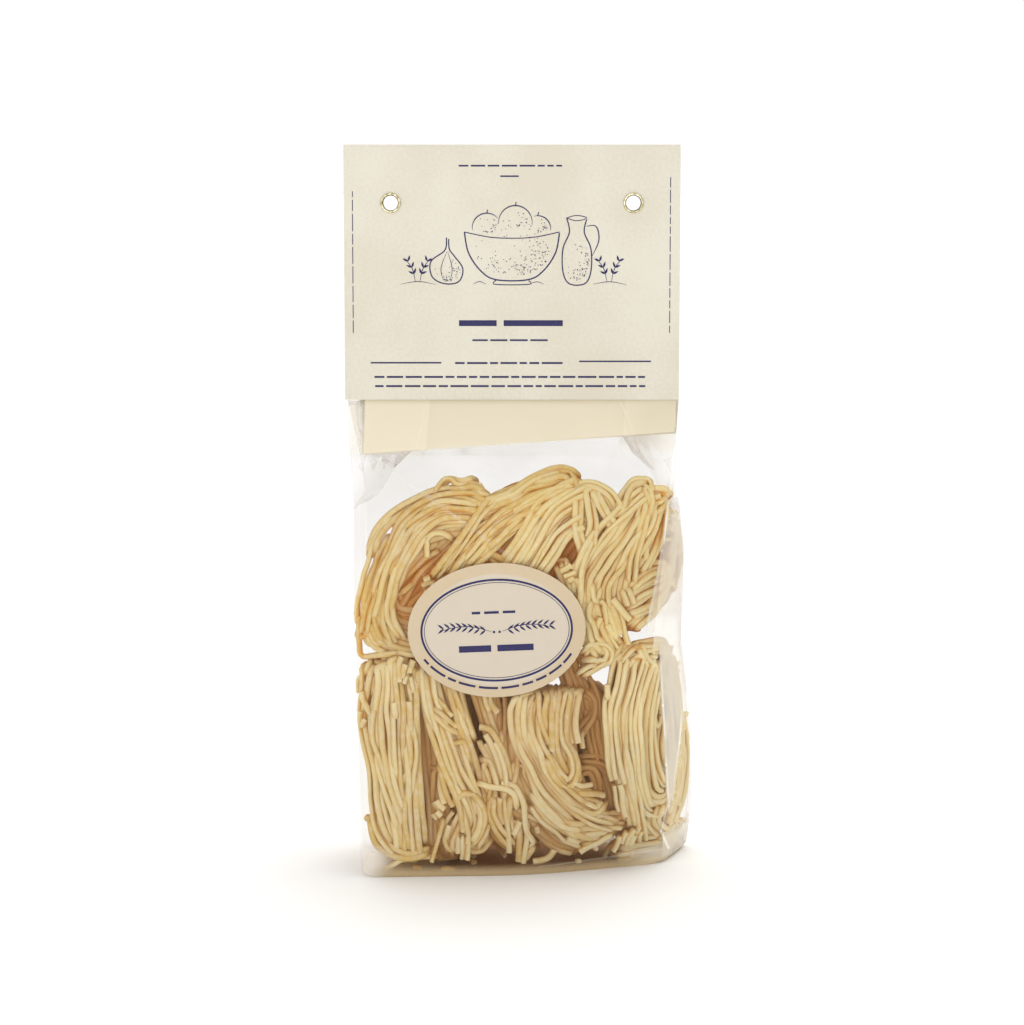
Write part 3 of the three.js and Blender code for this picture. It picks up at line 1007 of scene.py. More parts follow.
@dataclass(frozen=True)
class Lock:
    """A few strands that lie side by side over the front of a nest.

    Attributes:
        strands: How many there are.
        lay: How far below the film their middles are.
        line: The lock's middle as seen from the front: X and Z in turn, point by point.
        ends: Which of their ends are tucked in.
    """

    strands: int
    lay: float
    line: tuple[float, ...]
    ends: Ends = Ends.TUCKED

    STEP = 2.2
    SPACING = 1.9
    TUCKS = ((1.5, 3.0), (2.5, 8.0), (1.5, 14.0), (-1.0, 20.0))  # on along the line, and back
    SINK = 0.22  # how far a tucked end sinks for each millimetre that it goes back
    BESIDE = -12.0  # the Y that counts as the film where a line runs past it
    WAVES = (24, 60)  # the shortest and the longest wave of a strand
    SWAYS = (0.45, 0.25, 0.8)  # how far its three waves take it: sideways, sideways, and back
    SPREAD = (0.16, 23)  # how much the lock opens and closes, and over which length
    SIDEWAYS = 0.3  # below this a line runs straight back and has no side of its own
    ROLL = 26  # how far strands are rolled against each other, in degrees
    SWING = (10, 40)  # how far they roll to and fro, in degrees
    SWING_WAVE = 15  # over which length
    GIVE = 0.35  # how far it gives way to the strands behind it
    TRIM = 2  # how many steps a free end is shorter at most

    def middle(self, skin: BVHTree) -> list[Vector]:
        """The points of the lock's middle, laid under the bag's surface and tucked in at its ends."""
        points = []
        for x, z in zip(self.line[::2], self.line[1::2]):
            film = front_at(skin, x, z)
            points.append(Vector((x, (self.BESIDE if film is None else film) + self.lay, z)))
        for tucked, at_start in zip(self.ends.value, (True, False)):
            if tucked:
                line = points[::-1] if at_start else points
                onward = (line[-1] - line[-2]).normalized()
                line = line + [line[-1] + onward * on + Vector((0, back, -back * self.SINK))
                               for on, back in self.TUCKS]
                points = line[::-1] if at_start else line
        return evenly(points, self.STEP)

    def build(self, chance: random.Random, skin: BVHTree) -> list[Strand]:
        """Lay the strands side by side along the lock's middle.

        Args:
            chance: The nest's own chances.
            skin: The bag's surface, in metres.

        Returns:
            The strands.
        """
        middle = self.middle(skin)
        last = len(middle) - 1
        gather = chance.uniform(0, math.tau)
        made = []
        for k in range(self.strands):
            place = (k - (self.strands - 1) / 2) * self.SPACING
            waves = [(chance.uniform(0, math.tau), chance.uniform(*self.WAVES)) for _ in self.SWAYS]
            most = min(self.TRIM, len(middle) // 4)
            trims = [0 if tucked else chance.randint(0, most) for tucked in self.ends.value]
            line = []
            for i in range(trims[0], len(middle) - trims[1]):
                along = (middle[min(i + 1, last)] - middle[max(i - 1, 0)]).normalized()
                side = along.cross(OUTWARD)
                side = side.normalized() if side.length > self.SIDEWAYS else Vector((1, 0, 0))
                first, second, third = (math.sin(i * self.STEP / wave * math.tau + phase)
                                        for phase, wave in waves)
                spread = 1 + self.SPREAD[0] * math.sin(i * self.STEP / self.SPREAD[1] + gather)
                aside = place * spread + self.SWAYS[0] * first + self.SWAYS[1] * second
                line.append(middle[i] + side * aside - OUTWARD * self.SWAYS[2] * third)
            start, swing = chance.gauss(0, self.ROLL), chance.uniform(*self.SWING)
            rolls = [start + swing * math.sin(i * self.STEP / self.SWING_WAVE + gather + k)
                     for i in range(len(line))]
            across = rolled(line, middle_side(line), rolls)
            made.append(Strand(line, across, chance.random(), chance.uniform(*GIRTHS), self.GIVE))
        return made


def ripple(angle: float, waves: Sequence[Pair], phases: Sequence[float]) -> float:
    """The sum of some waves at an angle, each with a reach and how often it comes in a radian."""
    return sum(reach * math.sin(often * angle + phase) for (reach, often), phase in zip(waves, phases))


def middle_side(line: Sequence[Vector]) -> Vector:
    """The direction across a line, as seen from the front."""
    last = len(line) - 1
    along = line[last - last // 3] - line[last // 3]
    return along.cross(OUTWARD).normalized()


class Winding(Enum):
    """How tidily a nest is wound: how far its strands stray and its ends stand off."""

    LOOSE = 1.0
    TANGLED = 1.5


@dataclass(frozen=True)
class Hank:
    """A few strands that are wound side by side.

    Attributes:
        start: Where it starts, as an angle from the coil's top towards its front.
        length: How far round it goes, in radians.
        places: Its middle across the coil at the start of each turn, from -1 to 1.
        depths: How far inside the coil's outline it lies at the start of each turn.
        crosses: Where in a turn it goes over to its next place, and how long that takes.
        size: How much longer and deeper its oval is than the others'.
        phases: The phases of its waves.
    """

    start: float
    length: float
    places: tuple[float, ...]
    depths: tuple[float, ...]
    crosses: Pair
    size: Pair
    phases: tuple[float, ...]

    def at(self, values: Sequence[float], phase: float) -> float:
        """A value that goes over from one turn's to the next one's.

        Args:
            values: One value for each turn.
            phase: How far round, in radians.

        Returns:
            The value there.
        """
        turn = min(len(values) - 2, int(phase / math.tau))
        share = smoothstep(phase / math.tau - turn, self.crosses[0], sum(self.crosses))
        return values[turn] + (values[turn + 1] - values[turn]) * share


@dataclass(frozen=True)
class Nest:
    """An oval coil of strands, wound round and round and cut.

    Attributes:
        name: The piece's name.
        centre: Its middle.
        half_length: Half its long way, from bend to bend.
        half_depth: Half its short way, in the plane that it is wound in.
        thickness: Its size across that plane.
        lean: Its turn in degrees from upright; its top goes right where this is positive.
        yaw: Its turn in degrees about the vertical; 0 shows its edge to the front.
        hanks: How many hanks it is wound from.
        strands_each: How many strands a hank has.
        ends_at: The angle in degrees, from its top towards the front, where its cut ends gather.
        turns: How many times each strand goes round.
        core: How far its innermost hank lies inside its outline.
        bow: How far its middle is bent sideways, against its ends.
        spread: How much wider its back is than its front.
        winding: How tidily it is wound.
        tone: How much paler it is than the others.
        painted_shade_offset: How much deeper in the painted shade it stands than its depth in the bag says.
        seed: What makes its chances its own.
        locks: The locks over its front.
    """

    name: str
    centre: Place
    half_length: float = 36.0
    half_depth: float = 22.0
    thickness: float = 24.0
    lean: float = 0.0
    yaw: float = 0.0
    hanks: int = 5
    strands_each: int = 4
    ends_at: float = 190.0
    turns: float = 2.0
    core: float = 10.0
    bow: float = 0.0
    spread: float = 0.25
    winding: Winding = Winding.LOOSE
    tone: float = 0.0
    painted_shade_offset: float = 0.0
    seed: int = 1
    locks: tuple[Lock, ...] = ()

    STEP = 2.4
    SPACING = 1.95
    SQUARENESS = 2.5  # a turn is an ellipse at 2 and squarer above it
    FILLED = 0.75  # how much of its thickness its hanks' middles take up
    SKIN = 0.6  # how far the outermost hanks lie inside its outline
    FLARE = 3.4  # how far cut ends stand off
    FLARED = 0.9  # over how many radians
    TIGHTEST = (6.0, 3.0)  # the least half length and half depth of a turn
    STARTS = (0.3, 0.12)  # how far hanks, and strands of one hank, start from each other, in radians
    UNEVEN = (-0.1, 0.1)  # how many more turns a hank has
    LONGER = (-0.25, 0.15)  # how much longer a strand is than its hank, in radians
    CROSSES = ((0.1, 0.4), (0.3, 0.55))  # where in a turn a hank starts to cross, and how long it takes
    SIZES = (1.3, 0.8)  # how much hanks differ in length and depth
    PHASES = 8  # seven of them are waves'
    HOPS = (-2, -1, 1, 2)  # how many places over a hank goes in a turn
    DEPTHS = (0.0, 0.25, 0.5, 0.75, 1.0)  # how far into the core it may lie
    TILTS = ((1.1, 0.8),)  # how a hank turns as it goes round: each wave's reach and how often it comes
    PULLS = ((0.2, 1.7),)  # how it opens and closes
    STRAYS = ((1.6, 1), (1.2, 2), (0.5, 3), (0.3, 6))  # how a strand strays sideways
    BULGES = ((1.1, 2), (0.8, 3), (0.4, 5))  # how it bulges outwards
    ROLLS = ((40, 1.4), (18, 3.1))  # how it rolls, in degrees

    def strands(self, skin: BVHTree) -> list[Strand]:
        """Wind the nest's hanks and lay its locks.

        Args:
            skin: The bag's surface, in metres.

        Returns:
            The strands, in the bag's own coordinates.
        """
        chance = random.Random(self.seed)
        wound = []
        for number in range(self.hanks):
            hank = self.hank(chance, number)
            wound += [self.wind(chance, hank, k) for k in range(self.strands_each)]
        for lock in self.locks:
            wound += lock.build(chance, skin)
        for strand in wound:
            strand.tone += self.tone
            strand.painted_shade_offset = self.painted_shade_offset
        return wound

    def hank(self, chance: random.Random, number: int) -> Hank:
        """Choose how one hank is wound.

        Args:
            chance: The nest's own chances.
            number: Which hank it is.

        Returns:
            The hank.
        """
        loose = self.winding.value
        turns = math.ceil(self.turns) + 1
        slots = max(1, self.hanks - 1)
        places = [((number + (turn and chance.choice(self.HOPS))) % self.hanks) / slots * 2
                  * self.FILLED - self.FILLED for turn in range(turns)]
        depths = [self.SKIN + self.core * chance.choice(self.DEPTHS) for _ in range(turns)]
        return Hank(
            start=math.radians(self.ends_at) + chance.gauss(0, self.STARTS[0]) * loose,
            length=(self.turns + chance.uniform(*self.UNEVEN)) * math.tau,
            places=tuple(places),
            depths=tuple(depths),
            crosses=tuple(chance.uniform(*limits) for limits in self.CROSSES),
            size=tuple(chance.gauss(0, size) * loose for size in self.SIZES),
            phases=tuple(chance.uniform(0, math.tau) for _ in range(self.PHASES)),
        )

    def wind(self, chance: random.Random, hank: Hank, number: int) -> Strand:
        """Wind one strand of a hank.

        Args:
            chance: The nest's own chances.
            hank: The hank.
            number: Which of its strands it is.

        Returns:
            The strand.
        """
        loose = self.winding.value
        own = [chance.uniform(0, math.tau) for _ in range(4)]
        place = (number - (self.strands_each - 1) / 2) * self.SPACING
        late = chance.uniform(-self.STARTS[1], self.STARTS[1])
        length = hank.length + chance.uniform(*self.LONGER)
        flare = [Vector((chance.gauss(0, 1), chance.gauss(0, 1), chance.gauss(0, 1))) * self.FLARE * loose
                 for _ in range(2)]
        turn = self.turn()
        steps = int(length * (self.half_length + self.half_depth) / 2 / self.STEP)
        line, rolls = [], []
        for i in range(steps + 1):
            phase = length * i / steps
            near_end = min(phase, length - phase) / self.FLARED
            local = self.local_point(hank, hank.start + late + phase, phase, place, own)
            if near_end < 1:
                local += flare[0 if phase < length / 2 else 1] * (1 - near_end) ** 2
            line.append(turn @ local + Vector(self.centre))
            rolls.append(ripple(phase, self.ROLLS, (hank.phases[6], own[3])))
        across = rolled(line, turn @ Vector((1, 0, 0)), rolls)
        return Strand(line, across, chance.random(), chance.uniform(*GIRTHS))

    def turn(self) -> Matrix:
        """The rotation from the nest's own directions to the bag's."""
        return (Matrix.Rotation(math.radians(self.lean), 3, "Y")
                @ Matrix.Rotation(math.radians(self.yaw), 3, "Z"))

    def local_point(self, hank: Hank, angle: float, phase: float, place: float, own: Sequence[float]
                    ) -> Vector:
        """A point of a winding: X across the coil, -Y to its front edge, Z along it.

        Args:
            hank: The hank that it belongs to.
            angle: From the coil's top, towards its front edge.
            phase: How far round the strand is by then.
            place: The strand's place in its hank, from the hank's middle.
            own: The strand's own phases.

        Returns:
            The point, before the nest is turned and moved.
        """
        loose = self.winding.value
        tilt = ripple(phase, self.TILTS, hank.phases[:1])
        pull = 1 + ripple(phase, self.PULLS, hank.phases[1:2])
        side = hank.at(hank.places, phase) * self.thickness / 2 + place * pull * math.cos(tilt)
        side += loose * ripple(angle, self.STRAYS, (*hank.phases[2:4], *own[:2]))
        inward = hank.at(hank.depths, phase) + place * pull * math.sin(tilt)
        inward -= loose * ripple(angle, self.BULGES, (*hank.phases[4:6], own[2]))
        long_way = max(self.TIGHTEST[0], self.half_length - inward + hank.size[0])
        deep_way = max(self.TIGHTEST[1], self.half_depth - inward + hank.size[1])
        power = 2 / self.SQUARENESS
        c, s = math.cos(angle), math.sin(angle)
        up = long_way * math.copysign(abs(c) ** power, c)
        front = deep_way * math.copysign(abs(s) ** power, s)
        along = up / self.half_length
        side *= 1 - self.spread * front / self.half_depth
        side += self.bow * (1 - along * along)
        return Vector((side, -front, up))


def left_nest() -> Nest:
    """The upright nest at the left edge, whose strands run straight down."""
    return Nest("nest_lower_1", (-42, 1.5, 42), 34, 22, 20, lean=1, ends_at=190, painted_shade_offset=0.3, seed=11,
                locks=(
        Lock(3, 3.2, (-50, 75, -51, 66, -52, 58, -51, 48, -49, 38, -48, 27, -46, 18, -43, 12)),
        Lock(3, 2.6, (-46, 76, -46, 68, -47, 60, -46, 51, -45, 42, -43, 33, -41, 25, -40, 20)),
        Lock(3, 2.6, (-42, 78, -41, 66, -40, 58, -40, 49, -40, 38, -40, 28, -40, 19, -39, 11)),
        Lock(2, 2.2, (-38, 66, -37, 57, -36, 47, -36, 35, -36, 26, -35, 17, -34, 10), Ends.FREE_START),
        Lock(2, 3, (-36, 75, -35, 65, -35, 56, -34, 45, -34, 33, -34, 23, -33, 14)),
        Lock(1, 2.2, (-40, 65, -38, 58, -37, 50, -37, 40, -39, 31, -40, 21, -40, 12), Ends.FREE_START),
        Lock(1, 2.2, (-49, 60, -49, 50, -46, 42, -44, 31, -41, 23)),
        Lock(2, 3, (-50, 19, -48, 13, -44, 10, -37, 8, -31, 9)),
        Lock(1, 2.8, (-46, 14, -42, 8, -36, 7, -29, 7)),
        Lock(1, 2.4, (-46, 3, -43, 5, -40, 7, -36, 7), Ends.FREE_START),
        Lock(1, 2.4, (-52, 59, -54, 60, -55, 57, -54, 54, -53, 54, -52, 57), Ends.FREE),
        Lock(1, 3, (-51, 77, -53, 73, -55, 70, -54, 65, -53, 62), Ends.FREE_END),
        Lock(1, 3, (-54, 67, -53, 63, -51, 59), Ends.FREE_START),
        Lock(1, 2, (-39, 80, -40, 76, -40, 70), Ends.FREE),
        Lock(2, 2.2, (-36, 79, -38, 74, -39, 70), Ends.FREE),
        Lock(1, 2.4, (-35, 68, -36, 72, -37, 73, -38, 70, -38, 64), Ends.FREE_END),
        Lock(1, 2.2, (-41, 60, -41, 64, -40, 66, -37, 65), Ends.FREE_END),
        Lock(3, 4.4, (-44, 76, -48, 72, -49, 66)),
        Lock(4, 4.6, (-41, 80, -43, 75, -44, 67)),
        Lock(4, 5.5, (-48, 72, -49, 62, -49, 49, -46, 34, -44, 19)),
        Lock(4, 5.5, (-41, 78, -40, 63, -39, 49, -39, 34, -39, 16)),
        Lock(3, 5.5, (-37, 76, -36, 63, -36, 49, -35, 34, -35, 14)),
        Lock(3, 5, (-44, 19, -41, 14, -36, 12)),
        Lock(4, 7, (-33, 70, -32, 58, -31, 46, -30, 34, -29, 22, -28, 12)),
    ))


def slim_nest() -> Nest:
    """The slim nest beside it, a flat sheaf with a loop round its foot."""
    return Nest("nest_lower_2", (-20, 1.5, 41), 35, 23, 14, lean=-11, hanks=4, ends_at=185, painted_shade_offset=1.5,
                seed=23, locks=(
        Lock(3, 2.6, (-30, 75, -29, 64, -26, 55, -23, 46, -20, 38, -16, 31, -14, 25, -13, 20, -15, 14)),
        Lock(2, 2.2, (-32, 74, -31, 64, -29, 56, -26, 48, -23, 40, -20, 33, -18, 26, -17, 19,
                      -16, 13), Ends.FREE_END),
        Lock(3, 3.4, (-25, 73, -23, 66, -20, 58, -18, 51, -16, 44, -14, 36, -12, 29, -11, 24)),
        Lock(3, 3, (-21, 72, -20, 65, -18, 58, -16, 52)),
        Lock(2, 2.2, (-27, 60, -23, 56, -20, 54, -16, 53), Ends.FREE_END),
        Lock(1, 2.4, (-26, 64, -22, 60, -19, 58, -16, 56), Ends.FREE_END),
        Lock(1, 2.4, (-20, 49, -18, 50, -16, 49, -15, 44)),
        Lock(1, 2.2, (-20, 28, -18, 30, -14, 29, -11, 25, -10, 20, -12, 14, -15, 10, -20, 9, -23, 10,
                      -24, 14)),
        Lock(2, 2.8, (-29, 29, -26, 25, -22, 22), Ends.FREE),
        Lock(2, 2.8, (-29, 25, -26, 22, -23, 19), Ends.FREE),
        Lock(2, 3, (-25, 39, -25, 33, -24, 28, -22, 24), Ends.FREE_END),
        Lock(1, 3.2, (-23, 31, -20, 31, -18, 30)),
        Lock(2, 3, (-20, 23, -22, 20, -24, 15), Ends.FREE_START),
        Lock(2, 3.2, (-18, 22, -20, 18, -22, 13, -22, 10)),
        Lock(3, 2.6, (-18, 14, -18, 8, -19, 2), Ends.FREE_END),
        Lock(1, 2.6, (-25, 20, -27, 11, -29, 2), Ends.FREE_END),
        Lock(2, 3.6, (-12, 12, -10, 15, -9, 19)),
        Lock(2, 3.4, (-16, 11, -12, 10, -9, 13)),
        Lock(4, 6, (-29, 70, -26, 56, -22, 45, -18, 34, -15, 22)),
        Lock(4, 10, (-31, 32, -30, 22, -28, 12, -25, 7)),
        Lock(3, 5, (-22, 69, -20, 60, -18, 49, -16, 38)),
        Lock(3, 6, (-26, 38, -26, 27, -24, 19, -22, 13)),
    ))


def tangled_nest() -> Nest:
    """The thin nest in the middle, with a flap of strands and a tangle at its foot."""
    return Nest("nest_lower_3", (-1, 2, 40), 34, 22, 13, lean=-9, hanks=4, ends_at=175,
                winding=Winding.TANGLED, painted_shade_offset=2.2, seed=37, locks=(
        Lock(3, 4.6, (-12, 67, -10, 59, -8, 52, -5, 47, -3, 41)),
        Lock(2, 2.6, (-9, 68, -8, 62, -6, 59, -4, 55), Ends.FREE_END),
        Lock(4, 3, (-12, 51, -10, 51, -7, 46, -5, 41, -3, 34), Ends.FREE_START),
        Lock(1, 2.4, (-10, 53, -8, 51, -5, 46, -3, 40, -2, 34), Ends.FREE_START),
        Lock(3, 5, (-5, 65, -4, 59, -4, 52, -4, 45, -3, 37)),
        Lock(3, 4.4, (-1, 51, -1, 43, 0, 36, 1, 32)),
        Lock(2, 4.2, (1, 48, 0, 41, -1, 34)),
        Lock(4, 4.6, (1, 40, 2, 36, 4, 32, 7, 27, 10, 23)),
        Lock(1, 2.6, (-8, 41, -10, 42, -11, 39, -11, 36, -10, 32), Ends.FREE_START),
        Lock(2, 2.8, (-9, 41, -8, 38, -7, 33, -7, 28)),
        Lock(1, 2, (-11, 34, -8, 33, -3, 32, 0, 30, 1, 26)),
        Lock(1, 2, (-4, 34, 0, 33, 2, 30, 4, 26, 5, 20, 6, 16, 8, 12, 6, 9), Ends.FREE_START),
        Lock(2, 2.8, (-7, 28, -8, 23, -6, 18, -4, 15, -1, 12)),
        Lock(1, 2.4, (-4, 31, -5, 26, -5, 22, -4, 19, -2, 18, -1, 20, -1, 24, -1, 28), Ends.FREE_START),
        Lock(2, 3.2, (-2, 31, -2, 26, -1, 20, 0, 15)),
        Lock(2, 2.2, (2, 20, 1, 17, -1, 14), Ends.FREE),
        Lock(1, 2.4, (9, 18, 10, 14), Ends.FREE),
        Lock(2, 2.6, (4, 20, 4, 12, 3, 4), Ends.FREE_END),
        Lock(1, 2.4, (6, 10, 5, 7, 4, 4), Ends.FREE_END),
        Lock(1, 2.6, (15, 9, 13, 6, 9, 5, 5, 5), Ends.FREE),
        Lock(4, 5, (5, 24, 9, 18, 13, 14, 17, 11, 22, 9)),
        Lock(3, 4.6, (-3, 27, 2, 24, 8, 21)),
        Lock(4, 5.5, (-4, 27, -2, 21, 1, 16, 4, 12)),
        Lock(4, 6, (-9, 30, -7, 23, -5, 16, -1, 12)),
    ))


def bent_nest() -> Nest:
    """The nest that bends over to the right, with hairpins inside its bend."""
    return Nest("nest_lower_4", (16, 1.5, 41), 35, 22, 19, lean=-21, bow=-5, ends_at=180, painted_shade_offset=2.0,
                seed=41, locks=(
        Lock(2, 2.6, (2, 65, 0, 61, 0, 57, 1, 51, 3, 45, 6, 40, 9, 33, 12, 28, 17, 22, 21, 17, 25, 15,
                      33, 15)),
        Lock(3, 2.8, (5, 65, 4, 60, 4, 55, 5, 50, 8, 44, 11, 38, 15, 32, 20, 26, 25, 22, 30, 19, 35, 17)),
        Lock(2, 3, (8, 65, 6, 59, 7, 52, 10, 46, 14, 40, 18, 33, 23, 28, 28, 24, 32, 22)),
        Lock(2, 3.2, (9, 66, 9, 60, 10, 54, 12, 47, 15, 40, 19, 34, 24, 29)),
        Lock(1, 2.4, (12, 66, 11, 59, 12, 54, 11, 48, 12, 43, 15, 41, 18, 40), Ends.FREE_END),
        Lock(1, 2.6, (14, 66, 14, 57, 14, 50, 14, 45, 16, 42, 18, 42), Ends.FREE_END),
        Lock(1, 2.6, (17, 66, 16, 57, 16, 48, 18, 40, 20, 36, 21, 39, 21, 44)),
        Lock(2, 2.4, (20, 66, 19, 57, 19, 49, 21, 44, 22, 38, 20, 34, 18, 35, 15, 38, 13, 43)),
        Lock(2, 2.8, (23, 66, 22, 57, 22, 52, 23, 46, 24, 43), Ends.FREE_END),
        Lock(1, 3, (22, 44, 24, 38, 24, 35, 23, 33, 21, 35)),
        Lock(1, 3.4, (25, 51, 25, 45, 26, 39), Ends.FREE_END),
        Lock(3, 3.6, (16, 65, 15, 56, 13, 48)),
        Lock(3, 4, (18, 66, 18, 57, 18, 48, 19, 42)),
        Lock(2, 8, (26, 65, 29, 62, 29, 57, 26, 53, 24, 50)),
        Lock(2, 9, (29, 66, 32, 61, 33, 55, 33, 47)),
        Lock(3, 8.5, (26, 40, 30, 40, 33, 39, 36, 35)),
        Lock(2, 8, (24, 36, 28, 37, 30, 34, 31, 29, 31, 23)),
        Lock(4, 10, (28, 46, 31, 44, 34, 40)),
        Lock(4, 10, (32, 35, 34, 29, 35, 23)),
        Lock(4, 9, (29, 55, 30, 48, 32, 41)),
        Lock(4, 9, (21, 79, 23, 73, 26, 65, 28, 57)),
        Lock(4, 11, (33, 26, 36, 20, 40, 14, 44, 8)),
        Lock(2, 2.6, (21, 33, 25, 31, 28, 31, 30, 29), Ends.FREE_END),
        Lock(2, 3, (24, 29, 28, 28, 31, 27, 33, 26), Ends.FREE_END),
        Lock(2, 3.4, (26, 25, 29, 23, 31, 23, 32, 24)),
        Lock(2, 2.8, (8, 30, 11, 25, 15, 21, 19, 18, 24, 17)),
        Lock(3, 3, (9, 26, 12, 21, 17, 17, 20, 14, 25, 12)),
        Lock(1, 2.2, (18, 15, 22, 13, 25, 10), Ends.FREE),
        Lock(2, 2.8, (24, 8, 27, 10, 30, 11, 34, 14), Ends.FREE_START),
        Lock(1, 2.8, (29, 10, 30, 8, 32, 7), Ends.FREE_END),
        Lock(3, 3.4, (22, 16, 26, 14, 31, 13)),
        Lock(3, 4, (26, 12, 30, 13, 34, 16)),
        Lock(4, 4, (30, 20, 34, 18, 39, 18)),
        Lock(4, 5, (4, 63, 3, 54, 6, 45, 11, 36, 17, 27)),
        Lock(4, 5, (12, 63, 11, 54, 13, 45, 17, 36, 24, 27)),
        Lock(4, 5.5, (19, 63, 18, 52, 19, 42, 23, 32)),
        Lock(4, 5.5, (16, 20, 22, 16, 29, 13)),
        Lock(4, 9, (17, 82, 20, 74, 22, 67, 24, 60)),
    ))


def corner_nest() -> Nest:
    """The nest at the right corner, turned so that its hollow side shows."""
    return Nest("nest_lower_5", (50, 4, 44), 32, 13, 17, lean=-1, yaw=-62, hanks=6, core=9, tone=0.6,
                ends_at=195, seed=53, locks=(
        Lock(3, 3, (39, 78, 37, 69, 35, 62, 35, 55, 36, 46, 37, 38, 39, 31), Ends.FREE_END),
        Lock(2, 2.4, (36, 37, 38, 30, 39, 24, 42, 18), Ends.FREE),
        Lock(3, 3.4, (42, 79, 40, 67, 38, 57, 39, 46, 40, 35, 42, 27, 44, 18)),
        Lock(2, 3, (46, 80, 43, 67, 42, 57, 42, 45, 43, 33, 45, 23, 47, 15, 48, 8), Ends.FREE_END),
        Lock(3, 3, (49, 77, 46, 67, 44, 57, 45, 45, 45, 33, 47, 25, 50, 21, 54, 21, 57, 25)),
        Lock(3, 3.2, (51, 74, 49, 66, 48, 57, 48, 46, 49, 36, 50, 29, 53, 26, 56, 27, 58, 32)),
        Lock(2, 4, (53, 69, 51, 61, 50, 50, 51, 39, 53, 33, 55, 30, 57, 33)),
        Lock(2, 4.4, (54, 53, 53, 45, 54, 39, 56, 35, 58, 38)),
        Lock(1, 2.2, (48, 64, 51, 64, 56, 65, 61, 68), Ends.FREE_START),
        Lock(1, 2.6, (50, 62, 51, 58, 52, 52, 54, 56, 54, 62)),
        Lock(3, 3, (40, 77, 44, 81, 48, 82, 52, 82, 56, 79, 58, 74)),
        Lock(2, 2.4, (46, 81, 48, 77, 51, 73, 53, 69, 55, 65), Ends.FREE_END),
        Lock(2, 2.8, (50, 81, 54, 80, 56, 77, 54, 74, 52, 73)),
        Lock(3, 3, (56, 78, 59, 71, 61, 62, 62, 51, 63, 39, 62, 28, 60, 21, 57, 16)),
        Lock(4, 4.4, (55, 67, 57, 58, 58, 47, 59, 34, 57, 25)),
        Lock(2, 2.4, (62, 46, 64, 37, 63, 28, 61, 21)),
        Lock(2, 3.4, (60, 38, 62, 31, 60, 24, 57, 20)),
        Lock(3, 2.4, (41, 9, 42, 12, 44, 15), Ends.FREE),
        Lock(1, 2.4, (37, 6, 39, 9, 40, 12), Ends.FREE),
        Lock(2, 2.6, (46, 14, 44, 10, 43, 6), Ends.FREE_END),
        Lock(3, 4, (40, 7, 46, 8, 54, 9, 62, 11)),
        Lock(3, 4, (48, 17, 51, 13, 54, 11, 59, 12)),
        Lock(2, 2.6, (57, 10, 54, 14, 52, 17, 53, 21), Ends.FREE_START),
        Lock(4, 5, (39, 63, 39, 49, 41, 34, 43, 20)),
        Lock(1, 2.2, (33, 74, 34, 70, 34, 65), Ends.FREE_START),
        Lock(4, 3.4, (40, 4, 46, 4.5, 52, 5, 58, 7)),
        Lock(3, 3, (63, 51, 65, 44, 66, 36, 65, 28, 63, 20, 60, 14)),
    ))


